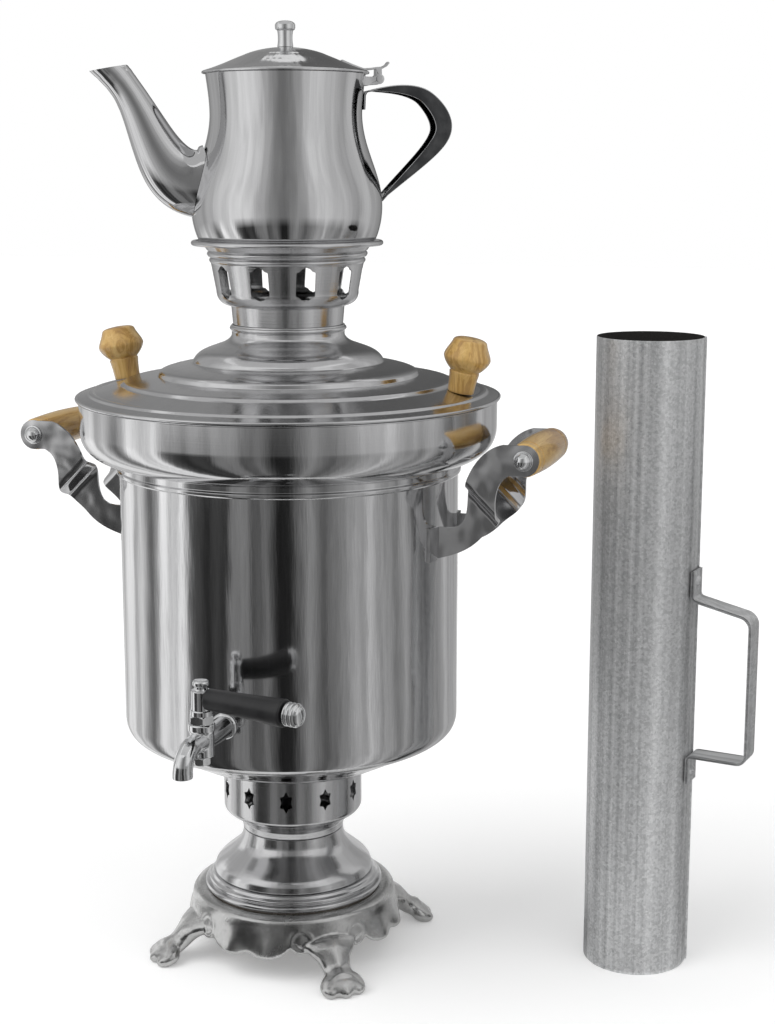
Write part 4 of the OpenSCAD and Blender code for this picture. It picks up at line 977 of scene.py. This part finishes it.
def grip_piece(tag, s, seed):
    half, end_r = grip_span / 2 - 0.3, grip_r - 1.2
    edge = pts([rod_r + 0.3, -half], [end_r - 2, -half]) + arc([end_r - 2, -half + 2], 2, -60, 0, 6)
    edge += curve([end_r, -half + 2], [end_r + 0.4, -half + 12], [grip_r, -half * 0.45], [grip_r, 0], 20, 1)
    edge += curve([grip_r, 0], [grip_r, half * 0.45], [end_r + 0.4, half - 12], [end_r, half - 2], 20, 1)
    edge += arc([end_r - 2, half - 2], 2, 20, 90, 6) + pts([rod_r + 0.3, half])
    edge = grooved(edge, (-half + 9, half - 9), 0.7, 0.9)
    lathe(f"grip_{tag}_turned", edge, "urn", ["grip_" + tag],
          varnished_wood(tag, "y", seed), 64, 0.8, mover(shift(s * grip_x, 0, z_grip), turn("X", 90)))


grip_piece("right", 1, 0.31)
grip_piece("left", -1, 0.77)

z_step = z_cone + 2.6
neck_in_r = pipe_r + pipe_clear
neck_out = neck_in_r + sheet
lid_line = [on_cone(lid_r - d, up) for d, up in ((1, 0), (9, 0), (10.5, 1.2), (13, 1.2), (14.5, 0))]
lid_line += [on_cone(bell_foot_r + d, up) for d, up in ((27.5, 0), (26, 0.6), (24.5, 1.6), (22, 1.6))]
lid_line += pts([bell_foot_r + 0.4, z_cone - 1.4], [bell_foot_r - 0.6, z_step - 1])
lid_line += curve([bell_foot_r - 2, z_step], [bell_foot_r - 8, z_step + 3], [bell_foot_r - 18, z_step + 4],
                  [bell_foot_r - 24, z_step + 5.4], 14)
lid_line += curve([bell_foot_r - 25, z_step + 6], [bell_foot_r - 28, z_step + 14],
                  [neck_out + 18, z_bell - 6], [neck_out + 10, z_bell - 3], 20)
lid_line += curve([neck_out + 10, z_bell - 3], [neck_out + 5, z_bell - 1.5], [neck_out + 1, z_bell + 1],
                  [neck_out, z_bell + 4], 14, 1)
lid_line += [v(neck_out, z_throat - 5.4)] + arc([neck_out - 0.2, z_throat - 3], 1.6, -70, 70, 10)
lid_line += [v(neck_out, z_throat - 0.4)]
skirt_r = bowl_r - sheet - 1
skirt = [v(skirt_r - sheet, z_rim - 6), v(skirt_r, z_rim - 6), on_cone(skirt_r, -sheet / 2),
         on_cone(skirt_r - sheet, -sheet / 2)]
lathe("lid_spun", band(lid_line, sheet), "lid", ["lid"], lid_steel, 256, 0.5)
lathe("lid_curl", ring(curl_r, 20, (curl_at, curl_z)), "lid", (), lid_steel, 256, 0)
lathe("lid_skirt", skirt, "lid", (), lid_steel)


def knob(tag, s, seed):
    k, w = knob_h / 40, knob_r / 16.8
    line = pts([0, 0.3], [9 * w, 0.3], [9.4 * w, 1.2])
    line += curve([9.4 * w, 1.2], [9.6 * w, 6 * k], [10 * w, 11 * k], [10.8 * w, 15 * k], 10, 1)
    line += pts([10.1 * w, 15.8 * k], [10.9 * w, 16.6 * k])
    line += curve([10.9 * w, 16.6 * k], [13 * w, 18.4 * k], [knob_r - 0.6, 22 * k], [knob_r, 25.4 * k], 14, 1)
    line += curve([knob_r, 25.4 * k], [knob_r, 28.6 * k], [13.6 * w, 32.4 * k], [12.2 * w, 37 * k], 14, 1)
    line += curve([12.2 * w, 37 * k], [11.6 * w, 38.8 * k], [9 * w, 39.8 * k], [0, 40 * k], 12, 1)
    at = mover(shift(s * knob_pitch, 0, cone_z(knob_pitch)), turn("Y", s * knob_lean))

    def seated(p):
        """The foot follows the lid's cone."""
        q = at(p)
        low = max(0.0, 1 - p[2] / 3)
        return v(q[0], q[1], q[2] * (1 - low) + max(q[2], cone_z(math.hypot(q[0], q[1])) + 0.12) * low)
    lathe(f"lid_knob_{tag}_turned", line, "lid", ["lid_knob_" + tag],
          varnished_wood("knob_" + tag[0], "z", seed), 64, 0.5, seated)


knob("right", 1, 1.3)
knob("left", -1, 2.2)

# Crown with its windows

z0 = z_throat
low_r = crown_wall_r - 2.5
spigot_r, seat_r = neck_in_r - 1.6, neck_in_r - 0.15
ledge_in = max(crown_wall_r + 5, pot_foot_r - 3)
ledge_out = max(ledge_in + 1, min(pot_foot_r + 0.8, crown_r - 5))
z_ledge = z_pot - pot_sink - thin
crown = pts([spigot_r, z0 - 8], [spigot_r, z0 - 1.5], [seat_r, z0 - 0.5], [seat_r + 1.2, z0 + 13])
crown += curve([seat_r + 1.2, z0 + 13], [low_r - 4, z0 + 14], [low_r, z0 + 17], [low_r + 0.3, z0 + 24], 14, 1)
crown += [v(crown_wall_r + 1.2, z0 + 43)]
crown += [v(crown_wall_r + 1.4 + i * 1.5 + 1.2 * math.sin(math.radians(k * 15)),
            z0 + 43.8 + i * 4.6 + k * 0.35)
          for i in range(2) for k in range(13)]
crown += pts([crown_wall_r + 4, z0 + 53], [ledge_in, z_ledge], [ledge_out, z_ledge],
             [ledge_out + 1.6, z_pot - 1 - thin], [crown_r - 1.8, z_pot - 0.8 - thin])
crown_ob = shell("crown_spun", crown, thin, "crown", ["crown"], turned_steel)
lathe("crown_edge", ring(1.8, 20, (crown_r - 1.8, z_pot - 1.8)), "crown", (), turned_steel,
      192, 0)
quarter = [(0.5, 0.35), (0.34, 0.37), (0.22, 0.45), (0, 0.5)]
half_way = quarter + [(-x, y) for x, y in quarter[2::-1]]
window = [v(x * window_w, y * window_h) for x, y in half_way + [(-x, -y) for x, y in half_way]]
cut(crown_ob, *[through(window, 0.8, crown_wall_r - 8, z0 + 31, 16, -90 + 360 * k / window_count)
                for k in range(window_count)])

# Teapot

in_pot = (shift(0, 0, z_pot - pot_sink + 0.3), turn("Z", pot_turn))
pot_place = mover(*in_pot)
pot_line = pts([pot_foot_r - 5, 0], [pot_foot_r - 1.5, 0])
pot_line += curve([pot_foot_r - 0.3, 1], [pot_r - 1, pot_h * 0.09], [pot_r + 0.3, pot_h * 0.17],
                  [pot_r, pot_h * 0.24], 20)
pot_line += curve([pot_r, pot_h * 0.24], [pot_r - 0.5, pot_h * 0.42], [pot_mouth_r - 2, pot_h * 0.56],
                  [pot_mouth_r - 2.6, pot_h * 0.76], 30, 1)
pot_line += curve([pot_mouth_r - 2.6, pot_h * 0.76], [pot_mouth_r - 2.6, pot_h * 0.86],
                  [pot_mouth_r - 1, pot_h * 0.93], [pot_mouth_r, pot_h], 14, 1)
pot_floor = pts([pot_foot_r - 6, 1.6 + thin], [0, 1.6 + thin])
lathe("pot_body_spun", pts([0, 1.6], [pot_foot_r - 7, 1.6]) + band(pot_line, thin) + pot_floor, "teapot",
      ["pot_body"], pot_steel, 256, 0.3, pot_place)
wall_rs, wall_zs = zip(*pot_line)


def wall_r(z):
    return float(np.interp(z, wall_zs, wall_rs))


def spout_mid(t):
    return cubic((pot_r - 13, pot_h * 0.37), (pot_spout_reach - 42, pot_h * 0.3),
                 (pot_spout_reach - 42, pot_h * 0.81), (pot_spout_reach - 12, pot_h * 1.025), t)


def spout_turn(t):
    d = spout_mid(min(1, t + 0.02)) - spout_mid(max(0, t - 0.02))
    return math.atan2(d[1], d[0])


stations = [0, 0.25, 0.5, 0.75, 0.9, 1]
tall = [26, 22, 16.4, 11.6, 10.2, 13.2]
wide = [18, 14.4, 11.4, 9.2, 8.6, 9.6]


def half_size(t, sizes):
    """A smooth curve through the stations of part.scad's table, straight at the tip."""
    spots = ((1, 0),) if t >= 0.97 else ((0.25, -0.06), (0.5, 0), (0.25, 0.06))
    return sum(k * float(np.interp(min(1, max(0, t + d)), stations, sizes)) for k, d in spots)


def outside(p):
    return math.hypot(p[0], p[1]) > wall_r(p[2]) + 0.12


def spout():
    n, m, tip = 72, 64, math.radians(80)
    skins = []
    for depth in (0, thin):
        rows = []
        for t in (i / n for i in range(n + 1)):
            c = spout_mid(t)
            a = spout_turn(t) + (tip - spout_turn(1)) * max(0, t * 8 - 7)
            up, across = half_size(t, tall) - depth, half_size(t, wide) - depth
            rows.append([v(up * x * math.sin(a) - c[0], across * y, c[1] + up * x * math.cos(a))
                         for x, y in (polar(1, 360 * k / m) for k in range(m))])
        # every point inside the body's wall slides out along its own line of the spout, onto the wall
        for k in range(m):
            first = next(i for i, row in enumerate(rows) if outside(row[k]))
            end = hi = rows[first][k]
            lo = rows[max(0, first - 1)][k]
            for _ in range(24):
                mid = (lo + hi) / 2
                lo, hi = (lo, mid) if outside(mid) else (mid, hi)
            for i in range(first):
                rows[i][k] = hi + (end - hi) * 1e-4 * i
        skins.append(rows)
    mesh_piece("pot_spout_drawn", moved(sleeve(*skins), *in_pot), "teapot", ["pot_spout"],
               pot_steel, 50, 2e-5)


spout()


def channel(name, line, depths, width, t, place, body, nodes, mat, lift=None):
    """A strap along a line whose two edges are folded over by the given depths, in one pressed piece."""
    ways = [q - p for p, q in zip(line, shifted(line, 1.0))]
    half, c = width / 2, min(0.9, t * 0.8)
    rows = []
    for p, way, deep in zip(line, ways, depths):
        inner = min(t + 0.4, deep)
        section = [(half - c, 0), (half - 0.3 * c, 0.3 * c), (half, c), (half, deep - 0.2 * t),
                   (half - 0.2 * t, deep), (half - 0.8 * t, deep), (half - t, max(inner, deep - 0.2 * t)),
                   (half - t, inner), (half - t - 0.4, t)]
        section += [(-y, d) for y, d in section[::-1]]
        row = [v(p[0] + way[0] * d, y, p[1] + way[1] * d) for y, d in section]
        rows.append([place(lift(q) if lift else q) for q in row])
    verts, faces = stacked(rows, False)
    m = len(rows[0])
    for e in (0, len(verts) - m):
        faces += [[e + k, e + k + 1, e + m - 2 - k, e + m - 1 - k] for k in range(m // 2 - 1)]
    mesh_piece(name, (verts, faces), body, nodes, mat, 44)


def clear_of_pot(p):
    r, need = math.hypot(p[0], p[1]), wall_r(p[2]) + 0.15
    return v(p[0] * need / r, p[1] * need / r, p[2]) if r < need else p


def handle():
    strap_t, strap_edge = 1.2, 11
    top, low = v(pot_mouth_r - 2.9, pot_h * 0.895), v(pot_r - 4.4, pot_h * 0.25)
    bend, out = v(pot_handle_reach - 14, pot_h * 0.89), v(pot_handle_reach, pot_h * 0.69)
    line = [top + v(0.6, -12), top + v(1, -2)]
    line += curve(top + v(1.6, -0.6), top + v(2.4, 1.2), top + v(4, 1.4), top + v(7, 1.8), 5, 1)
    first = len(line)
    line += curve(top + v(7, 1.8), top + v(20, 5.8), [pot_handle_reach - 25, pot_h * 0.965], bend, 18, 1)
    line += curve(bend, bend + v(9, -7), out + v(0.5, 8), out, 16, 1)
    line += curve(out, out + v(-0.5, -14), [pot_handle_reach - 18, pot_h * 0.48], low + v(8, 4), 26, 1)
    line += [low + v(4.4, 0)]
    along = [max(0.0, (i - first) / (len(line) - 1 - first)) for i in range(len(line))]
    depths = [strap_t + strap_edge * max(0.0, math.sin(math.pi * t)) ** 0.8 for t in along]
    channel("pot_handle_pressed", line, depths, pot_strap_w, strap_t, pot_place, "teapot", ["pot_handle"],
            strap_steel(), clear_of_pot)


handle()

pot_rim_r = pot_mouth_r + 2.6
z1 = pot_h + pot_lid_h
lid_out = pts([pot_rim_r, pot_h + 0.3], [pot_rim_r, pot_h + 1.5], [pot_rim_r - 1, pot_h + 2.1])
lid_out += curve([pot_rim_r - 1, pot_h + 2.1], [pot_rim_r - 14, pot_h + 6], [40, pot_h + pot_lid_h * 0.5],
                 [30, pot_h + pot_lid_h * 0.7], 20, 1)
lid_out += curve([30, pot_h + pot_lid_h * 0.7], [22, pot_h + pot_lid_h * 0.9], [10, z1], [3, z1], 20, 1)
pot_lid_ob = lathe("pot_lid_pressed", lid_out + pts([0, z1], [0, z1 - thin]) + shifted(lid_out, -thin)[::-1],
                   "teapot_lid", ["pot_lid"], pot_steel, 192, 0.3, pot_place)
lathe("pot_lid_skirt", pts([pot_mouth_r - 2.4, pot_h - 4], [pot_mouth_r - 1.7, pot_h - 4],
                           [pot_mouth_r - 1.7, pot_h + 2.4], [pot_mouth_r - 2.4, pot_h + 2.6]),
      "teapot_lid", (), pot_steel, 128, 0.2, pot_place)
steam_holes = [moved(prism(ring(1.2, 15), 0, 20), *in_pot, turn("Z", -110), shift(40, i * 4.2, pot_h))
               for i in (-1, 0, 1)]
cut(pot_lid_ob, *steam_holes, moved(prism(ring(1.55, 15), 0, 30), *in_pot, shift(0, 0, pot_h)))
knob_line = pts([0, z1 - thin - 4], [3.4, z1 - thin - 4], [3.4, z1 - thin - 0.1], [1.5, z1 - thin - 0.1],
                [1.5, z1 + 0.1], [5.6, z1 + 0.1], [5.6, z1 + 1.2])
knob_line += curve([5.6, z1 + 1.2], [5, z1 + 4], [5, z1 + 8], [5.6, z1 + 11.4], 12, 1)
knob_line += pts([6.8, z1 + 12.2], [7.2, z1 + 13.4], [7.2, z1 + 15.6], [6.4, z1 + 16.8])
knob_line += curve([6.4, z1 + 16.8], [5, z1 + 18], [3, z1 + 18.4], [0, z1 + 18.4], 8, 1)
lathe("pot_lid_knob_turned", knob_line, "teapot_lid", ["pot_lid_knob"], chromium, 64, 0.3,
      pot_place)

# Draught pipe

at_pipe = shift(pipe_x, pipe_y, 0)


def pipe():
    """The tube with its folded seam standing proud and locked by small punch marks."""
    half = math.degrees(7.0 / 2 / pipe_r)
    marks = [60 + 66 * i for i in range(6)]
    zs = sorted({0, 0.4, 0.9, pipe_h - 0.9, pipe_h - 0.4, pipe_h} | {6 + 8 * i for i in range(58)}
                | {m + d for m in marks for d in (-3.2, -2.2, -1.1, 0, 1.1, 2.2, 3.2)})
    extra = [pipe_seam_at + half * k for k in (-1.12, -1.0, -0.9, -0.5, -0.2, 0, 0.2, 0.5, 0.9, 1.0, 1.12)]
    angles = sorted([a for a in np.arange(0, 360, 1.5) if all(abs(a - e) > 0.4 for e in extra)] + extra)

    def outer_r(a, z):
        d = abs(a - pipe_seam_at)
        r = pipe_r + 0.10 * math.sin(math.radians(3 * a) + z * 0.011) * math.sin(z * 0.013 + 1)
        if d < half * 1.12:
            r = pipe_r + 2 * pipe_sheet * (1 if d < half * 0.92 else max(0.0, 1 - (d / half - 0.92) / 0.2))
            for k in marks:
                if abs(z - k) < 3.2 and d < half * 0.6:
                    r -= 0.9 * (1 - (z - k) ** 2 / 10.5) * (1 - (d / (half * 0.6)) ** 2)
        return r - 0.2 * max(0, 1 - min(z, pipe_h - z) / 0.4)
    outer = [[polar(outer_r(a, z), a, z) for a in angles] for z in zs]
    inner = [[polar(pipe_r - pipe_sheet, a, z) for a in angles] for z in zs]
    mesh_piece("pipe_tube_rolled", moved(sleeve(outer, inner), at_pipe), "draught_pipe", ["pipe_tube"],
               tube_zinc, 30)


def pipe_strap():
    grip_t, grip_w = 2, 16
    r0, r1 = pipe_r + 0.4 + grip_t, pipe_r + pipe_grip_reach
    low, top = pipe_grip_low, pipe_grip_top
    line = [v(r0, low - 20), v(r0, low - 6)] + arc([r0 + 2, low - 2], 2, 180, 90, 8)
    line += arc([r1 - 8, low + 8], 8, -90, 0, 14) + arc([r1 - 10, top - 14], 10, 0, 75, 14)
    line += arc([r0 + 3, top + 6], 3, 255, 180, 8) + [v(r0, top + 12), v(r0, top + 24)]
    channel("pipe_handle_bent", line, [-grip_t] * len(line), grip_w, -grip_t,
            mover(at_pipe, turn("Z", pipe_grip_at)), "draught_pipe", ["pipe_handle"],
            zinc)


pipe()
pipe_strap()

# Brackets: one folded plate with round bends, mirrored to its four places

def brackets():
    eye_r, foot_top, foot_low, fold_at, fold = 11, -53, -77, 31.9, 3.4
    foot_y = grip_span / 2 - 16
    run = grip_x - math.sqrt(tank_r ** 2 - foot_y ** 2) + 4
    line = arc([0, 0], eye_r, 75, 285, 40)
    line += curve([9, -10.5], [15, -13], [19, -18], [19.8, -30], 16)
    line += curve([19.8, -44], [20.5, -50], [27, -52], [34, -59], 14)
    line += curve([34, -59], [42, -68], [52, -73], [run, foot_low], 16, 1) + [v(run, foot_top)]
    line += curve([57, foot_top], [47, -52], [44.5, -46], [44, -32], 16)
    line += curve([44, -32], [43.5, -18], [34, 6], [15, 10.4], 22, 1)
    line = [line[i] for i in range(len(line)) if np.linalg.norm(line[i] - line[i - 1]) > 0.02]
    verts, faces = prism(line, 0, grip_span)
    ob = mesh_piece("bracket_plate", ([v(grip_x - p[0], -p[2], z_grip + p[1]) for p in verts], faces))
    eye_y, slant = -grip_span / 2, plate * 0.8
    strip = pts([-140, -foot_y], [-fold / 2, -foot_y], [fold / 2 + slant, eye_y], [140, eye_y],
                [140, eye_y - plate], [fold / 2, eye_y - plate], [-fold / 2 - slant, -foot_y - plate],
                [-140, -foot_y - plate])
    soft = []
    for i, b in enumerate(strip):
        to_a, to_c = strip[i - 1] - b, strip[(i + 1) % 8] - b
        if i in (0, 3, 4, 7):
            soft.append(b)
        else:
            soft += eased(b, b + to_a / np.linalg.norm(to_a) * 4.5, b + to_c / np.linalg.norm(to_c) * 4.5, 8)
    verts, faces = prism(soft, -100, 100)
    h = math.sqrt(0.5)
    verts = [v(grip_x - fold_at + h * (p[0] - p[2]), p[1],
               z_grip - fold_at + h * (p[0] + p[2])) for p in verts]
    boolean(ob, (verts, faces), "INTERSECT")
    pad_y = [-foot_y - 13 + 13 * i / 12 for i in range(13)]
    pad = [v(math.sqrt((tank_r + seat) ** 2 - y * y), y) for y in pad_y]
    pad += [v(math.sqrt((tank_r + seat + plate) ** 2 - y * y), y) for y in pad_y[::-1]]
    boolean(ob, turned(pts([0, z_grip - 150], [tank_r + seat, z_grip - 150], [tank_r + seat, z_grip + 50],
                           [0, z_grip + 50]), 360))
    boolean(ob, prism(pad, z_grip + foot_low, z_grip + foot_top), "UNION")
    verts, faces = prism(ring(rod_r + 0.2, 10, (grip_x, z_grip)), 20, 60)
    boolean(ob, ([v(p[0], -p[2], p[1]) for p in verts], faces))
    places = [v(*(p.co * 1000)) for p in ob.data.vertices]
    faces = [list(p.vertices) for p in ob.data.polygons]
    bpy.data.objects.remove(ob)
    for sx, across in ((1, "right"), (-1, "left")):
        for sy, along in ((1, "front"), (-1, "rear")):
            node = f"bracket_{across}_{along}"
            new = mesh_piece(node + "_bent", ([p * v(sx, sy, 1) for p in places], faces), "urn", [node],
                             plate_steel)
            bevelled(new, 0.35, 36)


brackets()

# Tap: cast body, nuts, plug, lever and knob

plug_y = -tank_r - plug_out
plug_low, plug_top, plug_low_r, plug_top_r, plug_stem_r = -10, 13.5, 5, 7, 6.8
at_tap = shift(0, plug_y, z_tap)
tap_place = mover(at_tap)
lever_place = mover(at_tap, turn("Z", -lever_turn), shift(0, 0, 31), turn("Y", 90))


def swept(path, radii, cols=48):
    """A closed round bar along a path in the plane of Y and Z."""
    rows = []
    for i, (c, r) in enumerate(zip(path, radii)):
        d = path[min(i + 1, len(path) - 1)] - path[max(i - 1, 0)]
        d = d / np.linalg.norm(d)
        spots = [polar(r, 360 * k / cols) for k in range(cols)]
        rows.append([v(x, c[0] - y * d[1], c[1] + y * d[0]) for x, y in spots])
    return stacked(rows)


def tap_body():
    bend, arm_z = 15, 1.6
    arm = spout_out - bend
    barrel = pts([0, plug_low], [7.5, plug_low], [8.3, plug_low + 1], [8.3, 7], [9.3, 9],
                 [9.3, plug_top - 0.6], [8.7, plug_top], [0, plug_top])
    path = [v(-3 - t * (arm - 3) / 6, arm_z) for t in range(6)]
    path += arc([-arm, arm_z - bend], bend, 90, 180, 15)
    path += [v(-spout_out, arm_z - bend - 1), v(-spout_out, arm_z - bend - 2)]
    radii = [7.5 - 0.13 * i for i in range(6)] + [6.7] * 14 + [6.85] * 4
    shank = [v(t, 0) for t in (2, 6, 12, 20, 28, plug_out - 3.2, plug_out - 3.0)]
    tail = [v(plug_out + t, 0) for t in (-6, 4, 12)]
    ob = mesh_piece("tap_body_cast", joined(
        turned(held(barrel, 0.3, 3), 72), swept(path, radii), swept(shank, [7.2, 7.3, 7.5, 7.7, 7.9, 8.1, 6]),
        swept(tail, [6, 6, 6])))
    fused(ob, 0.00036, 9)
    bore = turned(pts([0, plug_low - 2], [plug_low_r - 0.12, plug_low - 2], [plug_top_r + 0.22, plug_top + 2],
                      [0, plug_top + 2]), 72)
    mouth = prism(ring(mouth_r, 6, (0, -spout_out)), arm_z - bend - 4, arm_z - bend + 5)
    cut(ob, bore, mouth, sharp=50)
    for p in ob.data.vertices:
        p.co = Vector(tap_place(p.co * 1000) * 0.001)
    ob.data.materials.append(chromium)
    placed(ob, "urn", ["tap_body"])


def hex_nut(node, body, across, z0, z1, bore, above=()):
    """A chamfered hexagon nut, with an outline of its own above the flats."""
    r, corner = across / 2, across / math.sqrt(3) + 0.1
    loop = pts([bore, z0], [r + 0.2, z0], [corner, z0 + 0.9], [corner, z1 - 0.9], [r + 0.2, z1], *above)
    loop.append(v(bore, loop[-1][1]))

    def flats(p):
        out = math.hypot(p[0], p[1])
        if out < r or p[2] > z1 + 1e-6:
            return p
        deg = math.degrees(math.atan2(p[1], p[0])) % 60 - 30
        k = min(1.0, r / math.cos(math.radians(deg)) / out)
        return v(p[0] * k, p[1] * k, p[2])
    mesh_piece(node + "_turned", turned(held(loop, 0.25, 50), 120, tap_place, flats), body, [node],
               chromium, 26)


def tap_lathe(name, loop, node, mat, seg, round_r, place=lever_place, bulge=None):
    lathe(name, loop, "tap_key", [node], mat, seg, round_r, place, bulge)


tap_body()
hex_nut("tap_gland_nut", "urn", 15.4, plug_top + 0.05, plug_top + 6, plug_stem_r + 0.05,
        [(7.7, plug_top + 6.05), (7.7, plug_top + 9.1), (7.3, plug_top + 9.6)])
hex_nut("tap_plug_nut", "tap_key", 10.4, plug_low - 5.4, plug_low - 0.2, 2.55)
plug_line = pts([0, plug_low - 5], [2.5, plug_low - 5], [2.5, plug_low - 0.1],
                [plug_low_r - 0.1, plug_low - 0.1], [plug_top_r, plug_top - 0.2],
                [plug_stem_r, plug_top], [plug_stem_r, 36.2], [plug_stem_r - 0.5, 36.6],
                [4.75, 36.7], [4.3, 38], [4.2, 39.2], [5.4, 40], [5.6, 40.5], [5.6, 41.6])
plug_line += arc([3.6, 41.6], 2, 0, 90, 8) + pts([2, 44], [0, 44.2])
tap_lathe("tap_plug_turned", plug_line, "tap_plug", chromium, 72, 0.3, tap_place)
rod_end = lever_len - 3.5
tap_lathe("tap_lever_rod_drawn", pts([0, -6.5], [2.3, -6.5], [2.5, -6.3], [2.5, rod_end - 0.2],
                                     [2.3, rod_end], [0, rod_end]), "tap_lever_rod", chromium, 48, 0.1)
grip_from, grip_to = 5.6, lever_len - 9
lever_grip = pts([2.55, grip_from], [6.8, grip_from], [7.4, grip_from + 1])
lever_grip += curve([7.4, grip_from + 1], [7.8, grip_from + 25], [8.8, grip_from + 45],
                    [9.5, grip_to - 1.4], 24, 1)
lever_grip += pts([9.2, grip_to - 0.6], [8.7, grip_to], [2.55, grip_to])


def off_stem(p):
    """The grip's end hollows out round the plug's stem."""
    w = (plug_stem_r + 0.2) ** 2 - p[1] ** 2
    return v(p[0], p[1], max(p[2], math.sqrt(w) + 0.02)) if w > 0 else p


tap_lathe("tap_grip_moulded", lever_grip, "tap_grip", black, 96, 0.4, lever_place, off_stem)
end_line = pts([0, 0.1], [6.4, 0.1], [6.6, 0.3])
end_line += [v(7.1 + 1.1 * math.sin(math.radians(k * 15)), 0.6 + (i + k / 12) * 3.2)
             for i in range(3) for k in range(13)]
end_line += curve([6.8, 10.7], [6.6, 12], [4, 13.2], [0, 13.4], 12)
end_line = [p + v(0, lever_len - 8.7) for p in end_line]
tap_lathe("tap_end_knob_turned", end_line, "tap_end_knob", chromium, 96, 0.05)


def on_tank(p):
    """The flange's back follows the tank's wall."""
    y = -tank_r - 0.4 - p[2]
    if p[2] < 0.3:
        y = -math.sqrt((tank_r + 0.12) ** 2 - p[0] ** 2) - p[2]
    return v(p[0], y, p[1] + z_tap)


lathe("tap_flange_pressed", pts([6.1, 0], [9.4, 0], [9.6, 0.6], [9.5, 1.1], [8.4, 2.4], [8, 2.6], [6.1, 2.6]),
      "urn", ["tap_flange"], chromium, 96, 0.25, on_tank)

# Rods of the side grips and their domed nuts

nut_line = pts([0, 0.05], [6.6, 0.05], [7, 0.4], [7, 1.0], [6.7, 1.25], [6.1, 1.3])
nut_line += arc([0, 1.2], 6, 4, 90, 16)
rod_half = (grip_span + 2 * plate + 9) / 2
for s, tag in ((1, "right"), (-1, "left")):
    for e, end in ((-1, "front"), (1, "rear")):
        at = mover(shift(s * grip_x, e * (grip_span / 2 + plate), z_grip), turn("X", -e * 90))
        lathe(f"cap_nut_{tag}_{end}", nut_line, "urn", [f"cap_nuts_{tag}"] if e < 0 else (),
              chromium, 64, 0.15, at)
    lathe(f"rod_{tag}_drawn", pts([0, -rod_half], [rod_r, -rod_half], [rod_r, rod_half], [0, rod_half]),
          "urn", [f"rod_{tag}"], chromium, 48, 0.2,
          mover(shift(s * grip_x, 0, z_grip), turn("X", 90)))

# Pieces that keep their CAD shape

dressed("base_screws", screw_steel, 0.3)
dressed("base_nuts", screw_steel, 0.3)
dressed("ash_pan", fire_steel, 0)
dressed("fire_grate", grate_iron, 0.6)
dressed("tap_gasket", gasket, 0)
dressed("tap_locknut", nut_brass, 0.4)
dressed("lid_knob_screws", screw_steel, 0)
for node in ("pot_hinge_bracket", "pot_hinge_pin", "pot_hinge_leaf"):
    dressed(node, plate_steel, 0.25)
dressed("pipe_rivets", zinc, 0)
